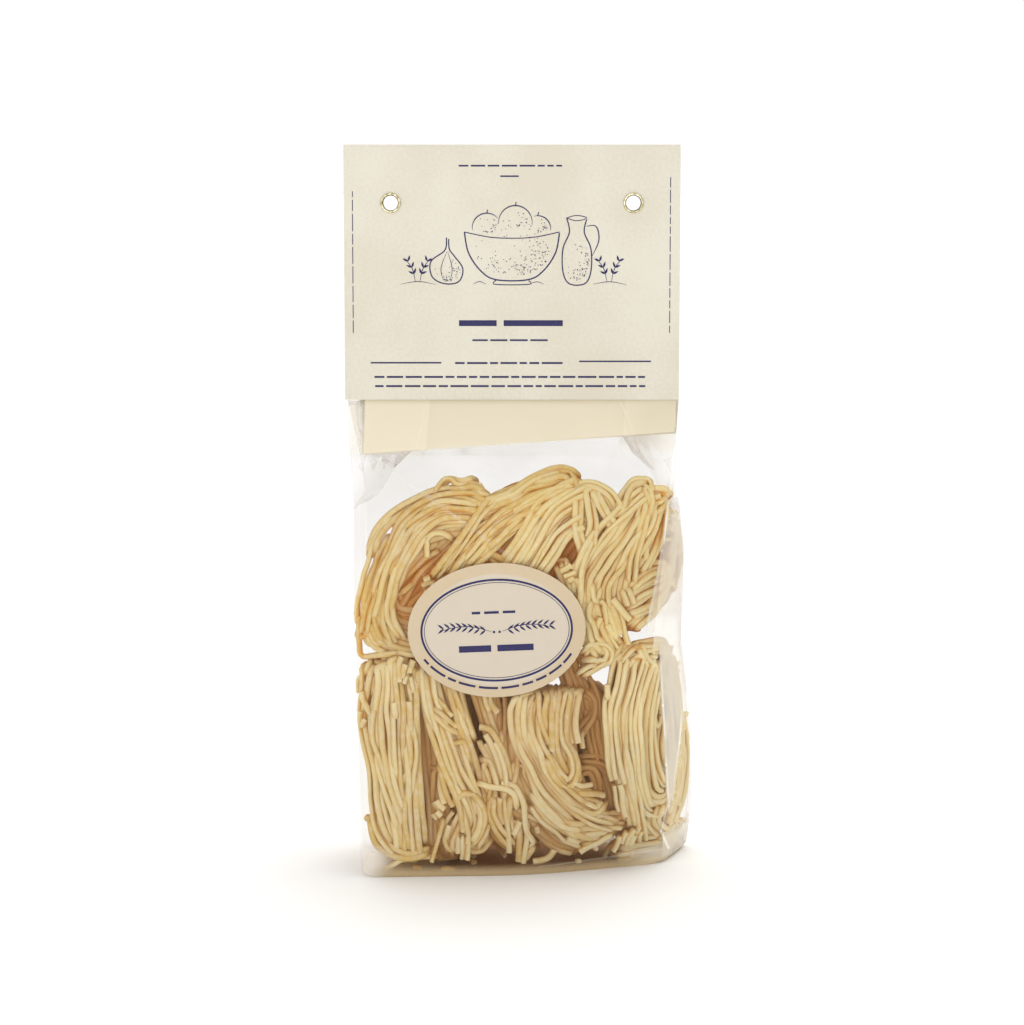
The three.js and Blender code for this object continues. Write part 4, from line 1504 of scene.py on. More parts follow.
def round_nest() -> Nest:
    """The round nest at the upper left, whose open face shows."""
    return Nest("nest_upper_1", (-33, 4, 108), 32, 14, 20, lean=38, yaw=60, hanks=6, core=12, ends_at=30,
                tone=-0.05, seed=67, locks=(
        Lock(2, 2.8, (-10, 136, -15, 138, -21, 139, -27, 138, -32, 136, -38, 133, -43, 129, -47, 124,
                      -49, 119)),
        Lock(1, 2.6, (-42, 129, -46, 124, -49, 119, -51, 114, -53, 109, -54, 103, -55, 98, -56, 93)),
        Lock(1, 3.4, (-44, 121, -47, 115, -48, 111, -50, 107, -52, 101, -53, 95)),
        Lock(3, 3, (-11, 134, -17, 136, -23, 136, -29, 134, -35, 130, -39, 126, -42, 120, -44, 114, -46, 108,
                    -48, 102, -50, 96, -51, 90)),
        Lock(4, 3.4, (-13, 131, -19, 132, -25, 132, -30, 129, -35, 124, -38, 119, -41, 114, -44, 108,
                      -45, 103, -47, 96, -47, 90, -45, 85)),
        Lock(3, 4, (-16, 128, -21, 128, -26, 127, -32, 124, -36, 119, -40, 114, -42, 108, -44, 102, -45, 97,
                    -44, 92, -41, 87)),
        Lock(1, 2, (-38, 131, -38, 126, -40, 120, -43, 114, -46, 106, -48, 99, -49, 94), Ends.FREE_START),
        Lock(2, 4.4, (-18, 125, -24, 124, -30, 122, -35, 118, -39, 114, -42, 109)),
        Lock(1, 2.6, (-23, 123, -26, 124, -29, 123, -30, 120, -30, 115, -30, 109), Ends.FREE_END),
        Lock(2, 5.5, (-27, 118, -32, 115, -37, 110, -41, 106)),
        Lock(1, 5, (-39, 110, -42, 106, -42, 102, -39, 103, -36, 105)),
        Lock(3, 7.5, (-22, 121, -26, 118, -31, 113, -36, 108, -40, 102, -43, 98)),
        Lock(4, 8, (-20, 119, -26, 114, -30, 109, -36, 104, -40, 98, -42, 94)),
        Lock(4, 8.5, (-24, 109, -30, 104, -35, 100, -38, 96)),
        Lock(3, 5.5, (-46, 99, -44, 94, -41, 91, -36, 89)),
        Lock(3, 7, (-44, 103, -43, 98, -40, 95, -35, 94)),
        Lock(3, 8, (-42, 102, -40, 98, -36, 97)),
        Lock(4, 9.5, (-28, 120, -29, 114, -30, 108, -33, 103)),
        Lock(2, 4.6, (-47, 96, -46, 90, -42, 86, -36, 84)),
        Lock(2, 3.6, (-50, 94, -48, 88, -45, 84, -40, 82, -35, 81)),
        Lock(1, 3, (-53, 93, -54, 86, -54, 80, -52, 79, -47, 80, -42, 81)),
        Lock(1, 3, (-56, 94, -57, 90, -55, 87, -51, 88)),
        Lock(2, 3, (-51, 90, -49, 85, -45, 82)),
        Lock(1, 2.6, (-31, 107, -29, 108, -27, 108), Ends.FREE),
        Lock(1, 2.6, (-32, 105, -29, 106, -27, 105), Ends.FREE),
        Lock(1, 2.4, (-31, 103, -29, 103, -28, 103), Ends.FREE),
        Lock(1, 3, (-27, 138, -24, 142, -21, 142, -19, 140, -16, 141, -11, 140, -10, 138, -11, 136)),
        Lock(1, 3.4, (-26, 139, -22, 142, -18, 141, -15, 142)),
        Lock(1, 3.6, (-21, 139, -18, 139, -14, 140, -10, 138)),
    ))


def peaked_nest() -> Nest:
    """The nest that lies across the middle, with the highest point."""
    return Nest("nest_upper_2", (-4, 3, 118), 28, 18, 15, lean=50, yaw=8, ends_at=200, tone=-0.2, painted_shade_offset=0.6,
                seed=71, locks=(
        Lock(2, 2.2, (-26, 110, -20, 117, -15, 124, -11, 131, -7, 135)),
        Lock(4, 3.2, (-20, 110, -15, 117, -8, 124, -1, 129, 6, 133, 15, 136)),
        Lock(4, 2.8, (-14, 114, -8, 120, -2, 126, 5, 132, 13, 136, 20, 138)),
        Lock(4, 3.2, (-11, 131, -5, 133, 2, 135, 10, 139, 16, 141)),
        Lock(3, 3, (-8, 134, -1, 136, 6, 140, 12, 142, 17, 144, 20, 143)),
        Lock(3, 4, (-4, 135, 4, 138, 10, 140, 16, 143)),
        Lock(2, 2.2, (-8, 120, -2, 125, 4, 129, 10, 132)),
        Lock(1, 2.2, (18, 145, 21, 145, 22, 142, 22, 139), Ends.FREE_END),
        Lock(2, 4.6, (-20, 111, -15, 114, -9, 116, -4, 113)),
        Lock(4, 9, (-5, 113, -1, 119, 4, 124, 8, 129)),
        Lock(2, 3, (-23, 112, -18, 119, -13, 126, -7, 130, -1, 133)),
    ))


def arched_nest() -> Nest:
    """The nest that leans on it and arches over to the right."""
    return Nest("nest_upper_3", (16, 3, 110), 29, 19, 16, lean=35, bow=-3, ends_at=200, tone=0.35,
                seed=83, locks=(
        Lock(4, 3, (-1, 113, 4, 120, 8, 127, 12, 132, 18, 136, 23, 138)),
        Lock(4, 3.2, (4, 112, 9, 119, 13, 126, 17, 131, 22, 134, 26, 136)),
        Lock(3, 2.6, (10, 111, 14, 117, 17, 122, 21, 126, 24, 128)),
        Lock(3, 4, (8, 113, 12, 120, 16, 126, 20, 130, 23, 133)),
        Lock(2, 2.2, (23, 136, 23, 130, 23, 124, 25, 119)),
        Lock(2, 2.4, (27, 138, 28, 132, 29, 127, 28, 121)),
        Lock(2, 3.6, (26, 136, 26, 130, 27, 125, 26, 120)),
        Lock(3, 3.6, (17, 135, 23, 138, 28, 139, 33, 137, 36, 134, 38, 130)),
        Lock(2, 3, (29, 138, 31, 134, 34, 129, 35, 127)),
        Lock(3, 4, (31, 137, 34, 134, 36, 131, 37, 128)),
        Lock(4, 12, (16, 109, 21, 115, 25, 119)),
        Lock(1, 3, (18, 107, 21, 111, 24, 116, 27, 119), Ends.FREE_START),
        Lock(2, 3, (18, 109, 20, 110, 23, 112), Ends.FREE),
        Lock(1, 2.2, (20, 107, 23, 108, 25, 104, 24, 100), Ends.FREE_START),
    ))


def looped_nest() -> Nest:
    """The nest at the upper right, with a loop on top and a fan of strands."""
    return Nest("nest_upper_4", (44, 4, 111), 20, 17, 18, lean=19, yaw=-30, ends_at=190, tone=0.5,
                seed=97, locks=(
        Lock(3, 2.8, (24, 103, 24, 110, 26, 117, 29, 122, 33, 126, 38, 130, 42, 133, 47, 137)),
        Lock(4, 3.2, (26, 100, 27, 107, 30, 112, 33, 117, 37, 122, 41, 128, 45, 133, 48, 137)),
        Lock(3, 3, (33, 99, 33, 105, 36, 111, 40, 117, 44, 121, 46, 128, 48, 134)),
        Lock(1, 2.4, (38, 133, 38, 136, 40, 139, 43, 142, 45, 142, 48, 142, 49, 140, 49, 138)),
        Lock(1, 2.8, (40, 133, 42, 138, 44, 140, 47, 141)),
        Lock(2, 2.2, (48, 139, 49, 134, 47, 128, 45, 121, 43, 115, 42, 108)),
        Lock(3, 3.4, (38, 99, 39, 105, 41, 112, 44, 119, 48, 125, 50, 131)),
        Lock(2, 3.2, (48, 138, 52, 138, 55, 137, 56, 135)),
        Lock(2, 3.6, (50, 135, 53, 136, 56, 135)),
        Lock(2, 3.8, (55, 135, 52, 132, 50, 129, 49, 127)),
        Lock(3, 4.6, (54, 131, 52, 127, 50, 121, 47, 115, 45, 112)),
        Lock(3, 5, (51, 131, 48, 125, 46, 120, 45, 114)),
        Lock(1, 3, (55, 133, 54, 126, 52, 119, 49, 112)),
        Lock(3, 4, (42, 105, 46, 108, 50, 110, 55, 110)),
        Lock(3, 4.2, (42, 100, 46, 103, 51, 105, 55, 107)),
        Lock(4, 4, (42, 96, 47, 98, 52, 101, 56, 104)),
        Lock(3, 3.2, (44, 91, 48, 94, 52, 98, 56, 102, 57, 107, 59, 113)),
        Lock(2, 3, (59, 127, 60, 121, 59, 116, 58, 110)),
        Lock(1, 1.8, (32, 104, 36, 100, 40, 95, 44, 90), Ends.FREE),
        Lock(3, 3.2, (26, 100, 25, 94, 27, 90, 28, 85, 31, 82)),
        Lock(3, 3, (30, 99, 31, 93, 32, 88, 35, 82)),
        Lock(3, 3.2, (35, 99, 37, 93, 38, 88, 40, 82), Ends.FREE_END),
        Lock(1, 2.4, (29, 86, 31, 92, 34, 98), Ends.FREE_END),
        Lock(1, 2.2, (36, 86, 33, 92, 32, 96), Ends.FREE_END),
        Lock(1, 2.6, (28, 105, 29, 100, 30, 99, 31, 103)),
        Lock(2, 3, (27, 82, 29, 84, 33, 83, 34, 80, 32, 77, 28, 77)),
        Lock(2, 3.2, (26, 74, 31, 77, 35, 80, 37, 83)),
        Lock(2, 3.4, (28, 85, 30, 83, 34, 81)),
        Lock(2, 2.8, (40, 103, 42, 98, 44, 93), Ends.FREE_END),
        Lock(3, 4.4, (26, 89, 28, 83, 30, 79)),
        Lock(4, 4.6, (31, 97, 33, 90, 36, 83, 39, 80)),
        Lock(4, 5.5, (31, 114, 36, 108, 39, 103, 41, 96)),
        Lock(4, 6, (33, 130, 33, 124, 31, 116, 29, 108)),
        Lock(3, 4.5, (18, 112, 20, 106, 21, 100, 22, 92)),
    ))


def back_nests() -> list[Nest]:
    """The nests of the back row that close the gaps between the front ones."""
    return [
        Nest("nest_back_1", (-31, 12, 40), 33, 12, 17, lean=-6, hanks=3, seed=101),
        Nest("nest_back_2", (-9, 13, 42), 34, 11, 15, lean=-8, hanks=3, seed=103),
        Nest("nest_back_3", (31, 12, 34), 27, 12, 18, lean=-8, yaw=20, hanks=4, seed=107),
        Nest("nest_back_4", (8, 10, 104), 30, 12, 20, lean=44, hanks=3, seed=109),
    ]


@dataclass
class Pasta:
    """Everything edible in the bag: the nests, and the crumbs on its floor.

    Attributes:
        ribbon: The strands' section.
        finish: What they look like.
        film_gap: How far a strand's middle stays from the film.
        apart: How close the middles of two strands may come.
        rounds: How many times strands that are too close are eased apart.
    """

    ribbon: Ribbon = field(default_factory=Ribbon)
    finish: PastaFinish = field(default_factory=PastaFinish)
    film_gap: float = 1.45
    apart: float = 1.95
    rounds: int = 5

    OPEN_TOP = (112.0, 130.0)  # between which heights the heap's shade gives way to light from above
    NEIGHBOURS = 5  # points of one strand that are nearer along it than this don't press on each other
    TOUCHING = 1e-4  # points that are nearer than this are one
    PUSH = 0.7  # how much of what they lack strands are pushed apart in one round
    SMOOTHING = ((-2, 1), (-1, 2), (0, 3), (1, 2), (2, 1))  # how a push is shared along a strand
    CRUMBS = 6
    CRUMBS_SEED = 131
    CRUMB_PLACES = ((-44, 50), (-24, -6), (1.2, 1.8))  # where they lie in X, Y and Z
    CRUMB_LEAN = (-0.1, 0.2)
    CRUMB_DEEP = 0.6  # how long they are where they point to the back, against sideways
    CRUMB_HALF = (1.2, 3.0)
    CRUMB_BEND = (0.0, 1.2)
    CRUMB_STEP = 1.5

    def nests(self) -> list[Nest]:
        """All the nests, from the left of each row to its right."""
        return [left_nest(), slim_nest(), tangled_nest(), bent_nest(), corner_nest(), round_nest(),
                peaked_nest(), arched_nest(), looped_nest(), *back_nests()]

    def keep_inside(self, strand: Strand, skin: BVHTree) -> None:
        """Push a strand's points in from the film.

        Args:
            strand: The strand.
            skin: The bag's surface, in metres.
        """
        for i, point in enumerate(strand.points):
            near, normal, _, _ = skin.find_nearest(point * MM)
            outside = (point - near / MM).dot(normal) + self.film_gap
            if outside > 0:
                strand.points[i] = point - normal * outside

    def ease_apart(self, strands: list[Strand]) -> None:
        """Push strands that are too close a little way from each other.

        Args:
            strands: All the strands in the bag.
        """
        places = [(s, i) for s, strand in enumerate(strands) for i in range(len(strand.points))]
        tree = KDTree(len(places))
        for number, (s, i) in enumerate(places):
            tree.insert(strands[s].points[i], number)
        tree.balance()
        pushes = [[Vector((0, 0, 0)) for _ in strand.points] for strand in strands]
        for s, strand in enumerate(strands):
            for i, point in enumerate(strand.points):
                for other, number, distance in tree.find_range(point, self.apart):
                    t, j = places[number]
                    if distance < self.TOUCHING or (s == t and abs(i - j) < self.NEIGHBOURS):
                        continue
                    share = strand.give / (strand.give + strands[t].give)
                    lacking = share * (self.apart - distance) / distance
                    pushes[s][i] += (point - other) * (lacking * self.PUSH)
        whole = sum(weight for _, weight in self.SMOOTHING)
        for strand, push in zip(strands, pushes):
            last = len(push) - 1
            for i in range(len(push)):
                near = [push[min(last, max(0, i + k))] * weight for k, weight in self.SMOOTHING]
                strand.points[i] += sum(near, Vector((0, 0, 0))) / whole

    def sound(self, strand: Strand, skin: BVHTree) -> None:
        """Note how deep a strand's points lie for the painted shade, which counts for less near the heap's
        open top.

        Args:
            strand: The strand.
            skin: The bag's surface, in metres.
        """
        for point in strand.points:
            _, normal, _, distance = skin.find_nearest(point * MM)
            strand.depths.append(distance / MM * (1 - smoothstep(point.z, *self.OPEN_TOP)) + strand.painted_shade_offset)
            strand.inward.append(-normal)

    def crumbs(self) -> list[Strand]:
        """Short broken ends that lie on the bag's floor."""
        chance = random.Random(self.CRUMBS_SEED)
        made = []
        for _ in range(self.CRUMBS):
            middle = Vector([chance.uniform(*limits) for limits in self.CRUMB_PLACES])
            turn = chance.uniform(0, math.tau)
            lean = chance.uniform(*self.CRUMB_LEAN)
            reach = Vector((math.cos(turn), math.sin(turn) * self.CRUMB_DEEP, lean))
            reach *= chance.uniform(*self.CRUMB_HALF)
            bend = Vector((0, 0, chance.uniform(*self.CRUMB_BEND)))
            line = evenly([middle - reach, middle + bend, middle + reach], self.CRUMB_STEP)
            made.append(Strand(line, rolled(line, Vector((0, 0, 1)), [90.0] * len(line)), chance.random()))
        return made

    def build(self, bag: Piece) -> None:
        """Make every nest and the crumbs.

        Args:
            bag: The frame's bag, which holds them.
        """
        material = self.finish.build()
        skin = surface_of(bag)
        groups = [(nest.name, nest.strands(skin)) for nest in self.nests()]
        groups.append(("crumbs", self.crumbs()))
        strands = [strand for _, group in groups for strand in group]
        for _ in range(self.rounds):
            self.ease_apart(strands)
            for strand in strands:
                self.keep_inside(strand, skin)
        for name, group in groups:
            mesh = StrandMesh(self.ribbon)
            for strand in group:
                strand.refine()
                self.sound(strand, skin)
                mesh.add(strand)
            piece = mesh.piece(name, material)
            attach(piece, ROOT)
            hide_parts("bag")
            log.info("%s: %d strands, %d faces", name, len(group), len(piece.data.polygons))


# ---- The film ---------------------------------------------------------------------------------


@dataclass
class Film:
    """The bag's clear film, in the form of the frame's solid bag, with its small wrinkles."""

    wrinkle: float = 0.25
    cuts: int = 1

    BASE_TOP = 3.0
    TURNED = 0.7  # how squarely a face looks down or sideways that belongs to the base or a gusset
    MERGED = 0.01  # how near points have to be that are merged
    SMOOTH = 40
    FREE = ((1.0, 8.0), (150.0, 166.0))  # from which to which height wrinkles start and end
    WAVES = (9, 9, 26)  # how long its wrinkles are in X, Y and Z

    def face_creases(self) -> tuple[Crease, ...]:
        """The fold lines of the front: from the header, down the corners, and along the base."""
        return (
            Crease((-56, 167), (-52, 150)),
            Crease((-52, 152), (-20, 130), 0.8, 0.22),
            Crease((-20, 130), (0, 115), 0.8, 0.15),
            Crease((-31, 168), (-34, 153), 0.6, 0.2),
            Crease((39, 168), (47, 148), 0.6, 0.2),
            Crease((-55, 168), (-54, 159), 1.2, 0.5),
            Crease((-54, 0), (-50, 10), 0.6, 0.35),
            Crease((10, 3), (58, 6), 0.5, 0.2),
            *self.corner_creases(),
        )

    def corner_creases(self) -> tuple[Crease, ...]:
        """The painted highlights down the right corner, that its face and its gusset share."""
        upper = ((55.4, 134), (53.1, 117), (51.1, 106), (48.1, 90))
        inner = ((53.1, 75), (54.2, 60), (55.6, 38), (56.6, 22), (54, 13), (57.3, 5))
        outer = ((62.3, 66), (62.4, 54), (61.4, 43), (57.6, 20))
        return tuple(Crease(start, end, 0.7, 0.5)
                     for line in (upper, inner, outer) for start, end in zip(line, line[1:]))

    def finishes(self) -> list[FilmFinish]:
        """The films of the bag's panels."""
        return [
            FilmFinish(FilmPart.FACE, haze=0.11, wrinkled=0.04, creases=self.face_creases(),
                       veils=(SheenVeil((30.9, 0.19), None, 84, 138, 0.3),
                              SheenVeil((44, 0.0), None, -6, 10, 0.45, 9.0),
                              SheenVeil(None, (-44, 0.0), -6, 13, 0.4, 5.0),
                              SheenVeil(None, (-43, 0.08), 148, 175, 0.2),
                              SheenVeil((24, 0.1), None, 148, 175, 0.14)),
                       foot=0.6),
            FilmFinish(FilmPart.LEFT_GUSSET, haze=0.05, wrinkled=0.04, tint=srgb(248, 246, 240), edge=0.08,
                       painted_panel_light=0.0, gloss=0.3),
            FilmFinish(FilmPart.RIGHT_GUSSET, haze=0.1, wrinkled=0.06, tint=srgb(248, 240, 224), edge=0.08,
                       painted_panel_light=0.0, gloss=0.3, creases=self.corner_creases(),
                       veils=(SheenVeil((58.1, -0.066), (53.2, 0.19), 14, 84, 0.48),
                              SheenVeil(None, None, 79, 132, 0.36), SheenVeil(None, None, -6, 14, 0.45))),
            # the base's brown tint is a painted shadow and reflection of the pasta above it
            FilmFinish(FilmPart.BASE, haze=0.95, wrinkled=0.1, tint=srgb(172, 118, 66), edge=0.0, painted_panel_light=0.0,
                       gloss=0.0, roughness=0.8, corners=srgb(240, 222, 186)),
        ]

    def build(self, bag: Piece) -> None:
        """Make the film.

        Args:
            bag: The frame's bag.
        """
        mesh = bag.data.copy()
        mesh.name = "film"
        mesh.materials.clear()
        finishes = self.finishes()
        for finish in finishes:
            mesh.materials.append(finish.build())
        panels = [finish.part for finish in finishes]
        shape = bmesh.new()
        shape.from_mesh(mesh)
        bmesh.ops.remove_doubles(shape, verts=shape.verts, dist=self.MERGED * MM)
        bmesh.ops.subdivide_edges(shape, edges=shape.edges, cuts=self.cuts, use_grid_fill=True)
        shape.normal_update()
        for point in shape.verts:
            at = point.co / MM
            free = smoothstep(at.z, *self.FREE[0]) * (1 - smoothstep(at.z, *self.FREE[1]))
            wave = noise.noise(Vector([length / wave for length, wave in zip(at, self.WAVES)]))
            point.co += point.normal * (wave * self.wrinkle * free * MM)
        for face in shape.faces:
            face.smooth = True
            face.material_index = panels.index(self.part_of(face))
        shape.to_mesh(mesh)
        shape.free()
        film = bpy.data.objects.new("film", mesh)
        bpy.context.scene.collection.objects.link(film)
        smooth_by_angle(film, self.SMOOTH)
        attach(film, ROOT)
        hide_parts("bag")
        log.info("film: %d faces", len(mesh.polygons))

    def part_of(self, face: bmesh.types.BMFace) -> FilmPart:
        """Which panel a face belongs to: the base, a gusset, or the front or back."""
        middle = face.calc_center_median()
        if face.normal.z < -self.TURNED and middle.z < self.BASE_TOP * MM:
            return FilmPart.BASE
        if abs(face.normal.x) < self.TURNED:
            return FilmPart.FACE
        return FilmPart.LEFT_GUSSET if middle.x < 0 else FilmPart.RIGHT_GUSSET


# ---- Print ------------------------------------------------------------------------------------


@dataclass
class Printing:
    """Ink on paper: thin closed plates that follow the surface below them.

    Attributes:
        name: The piece's name.
        paper: The frame's node that is printed on.
        thickness: The ink's thickness.
    """

    name: str
    paper: Piece
    thickness: float = 0.05
    points: list[Vector] = field(default_factory=list)
    faces: list[list[int]] = field(default_factory=list)

    WORDS = (2.2, 7.5)  # the shortest and the longest word
    WORD_GAP = 0.9
    ARC_WORDS = (5.0, 15.0)  # the same along an arc, in degrees
    ARC_GAP = 2.4
    ARC_SPARE = 2.0
    ARC_STEP = 3.0
    BAR_STEP = 6.0  # the longest straight stretch of a bar
    SUNK = -0.01  # where the underside of the ink lies
    SMOOTH_STEP = 0.6  # between two points of a curve
    THIN_END = 0.35  # how wide a tapered line is at its ends
    LEAF_CUTS = (0.0, 0.15, 0.35, 0.6, 0.85, 1.0)
    LEAF_TIP = 0.08
    LEAF_BELLY = 0.8  # below 1, a leaf is widest nearer its root

    def __post_init__(self) -> None:
        """Prepare the search for the paper's surface."""
        self.surface = surface_of(self.paper)

    def lift(self, x: float, z: float, height: float) -> Vector:
        """The point at X and Z that lies some height in front of the paper."""
        return Vector((x, front_at(self.surface, x, z) - height, z))

    def stroke(self, line: Sequence[Pair], widths: Sequence[float], closed: bool = False) -> None:
        """Print a stroke along a line.

        Args:
            line: The stroke's middle, in X and Z.
            widths: Its width at each point.
            closed: Whether its end joins its start.
        """
        flat = [Vector(p) for p in line]
        count = len(flat)
        start = len(self.points)
        for i, point in enumerate(flat):
            before = flat[i - 1] if closed or i else flat[0]
            after = flat[(i + 1) % count] if closed else flat[min(i + 1, count - 1)]
            side = (after - before).normalized().orthogonal() * widths[i] / 2
            corners = ((point + side, self.thickness), (point - side, self.thickness),
                       (point - side, self.SUNK), (point + side, self.SUNK))
            self.points += [self.lift(corner.x, corner.y, height) for corner, height in corners]
        for i in range(count if closed else count - 1):
            low, high = start + i * 4, start + ((i + 1) % count) * 4
            self.faces += [[low + k, low + (k + 1) % 4, high + (k + 1) % 4, high + k] for k in range(4)]
        if not closed:
            self.faces.append([start + k for k in (3, 2, 1, 0)])
            self.faces.append([start + (count - 1) * 4 + k for k in range(4)])

    def bar(self, left: float, right: float, z: float, height: float) -> None:
        """Print a level bar.

        Args:
            left, right: Its ends.
            z: Its middle.
            height: Its height.
        """
        steps = max(1, round((right - left) / self.BAR_STEP))
        line = [(left + (right - left) * i / steps, z) for i in range(steps + 1)]
        self.stroke(line, [height] * (steps + 1))

    def dot(self, x: float, z: float, size: float) -> None:
        """Print a dot of some width."""
        self.stroke([(x - size / 2, z), (x + size / 2, z)], [size, size])

    def curve(self, points: Sequence[Pair], width: float, tapered: bool = False) -> None:
        """Print a smooth line through some points.

        Args:
            points: The points.
            width: The line's width.
            tapered: Whether it thins out towards its ends.
        """
        line = [(p.x, p.z) for p in evenly([Vector((x, 0, z)) for x, z in points], self.SMOOTH_STEP)]
        last = max(1, len(line) - 1)
        swell = 1 - self.THIN_END
        widths = [width * (self.THIN_END + swell * math.sin(math.pi * i / last)) if tapered else width
                  for i in range(len(line))]
        if len(line) > 1:
            self.stroke(line, widths)

    def leaf(self, x: float, z: float, turn: float, length: float, width: float) -> None:
        """Print a solid pointed leaf.

        Args:
            x, z: Where it grows from.
            turn: Its direction in degrees, anticlockwise from the right.
            length, width: Its size.
        """
        c, s = math.cos(math.radians(turn)), math.sin(math.radians(turn))
        self.stroke([(x + c * length * t, z + s * length * t) for t in self.LEAF_CUTS],
                    [max(self.LEAF_TIP, width * math.sin(math.pi * t ** self.LEAF_BELLY))
                     for t in self.LEAF_CUTS])

    def words(self, left: float, right: float, z: float, height: float, seed: int) -> None:
        """Print a line of text as level bars, one for each word, with lengths from a seed."""
        for start, end in dashes(random.Random(seed), left, right, self.WORDS, self.WORD_GAP, height):
            self.bar(start, end, z, height)

    def arc_words(self, centre: Pair, half: Pair, turn: float, start: float, end: float, height: float,
                  seed: int) -> None:
        """Print a line of text as bars along an oval's arc.

        Args:
            centre: The oval's middle.
            half: Its half sizes.
            turn: Its turn in degrees.
            start, end: The arc's angles in degrees.
            height: The bars' height.
            seed: What makes its word lengths its own.
        """
        words = dashes(random.Random(seed), start, end, self.ARC_WORDS, self.ARC_GAP, self.ARC_SPARE)
        for at, stop in words:
            steps = max(2, round((stop - at) / self.ARC_STEP))
            line = [oval_point(centre, half, turn, at + (stop - at) * i / steps) for i in range(steps + 1)]
            self.stroke(line, [height] * (steps + 1))

    def build(self, material: Material) -> None:
        """Make the print.

        Args:
            material: The ink.
        """
        piece = mesh_piece(self.name, self.points, self.faces, material)
        shape = bmesh.new()
        shape.from_mesh(piece.data)
        bmesh.ops.recalc_face_normals(shape, faces=shape.faces)
        shape.to_mesh(piece.data)
        shape.free()
        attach(piece, ROOT)
        log.info("%s: %d faces", piece.name, len(piece.data.polygons))


def placed(centre: Pair, turn: float, x: float, z: float) -> Pair:
    """The point at X and Z from a middle, turned about it by some degrees."""
    c, s = math.cos(math.radians(turn)), math.sin(math.radians(turn))
    return centre[0] + x * c - z * s, centre[1] + x * s + z * c


def dashes(chance: random.Random, start: float, end: float, lengths: Pair, gap: float,
           spare: float = 0.0) -> Iterator[Pair]:
    """Dashes of chance lengths along a stretch.

    Args:
        chance: What draws their lengths.
        start, end: Where the stretch starts and ends.
        lengths: The shortest and the longest dash.
        gap: The gap between two.
        spare: How near the stretch's end no dash starts.

    Yields:
        Where each dash starts and ends.
    """
    at = start
    while at < end - spare:
        stop = min(end, at + chance.uniform(*lengths))
        yield at, stop
        at = stop + gap


def oval_point(centre: Pair, half: Pair, turn: float, angle: float) -> Pair:
    """The point of a turned oval at an angle in degrees from its right end."""
    return placed(centre, turn, half[0] * math.cos(math.radians(angle)),
                  half[1] * math.sin(math.radians(angle)))


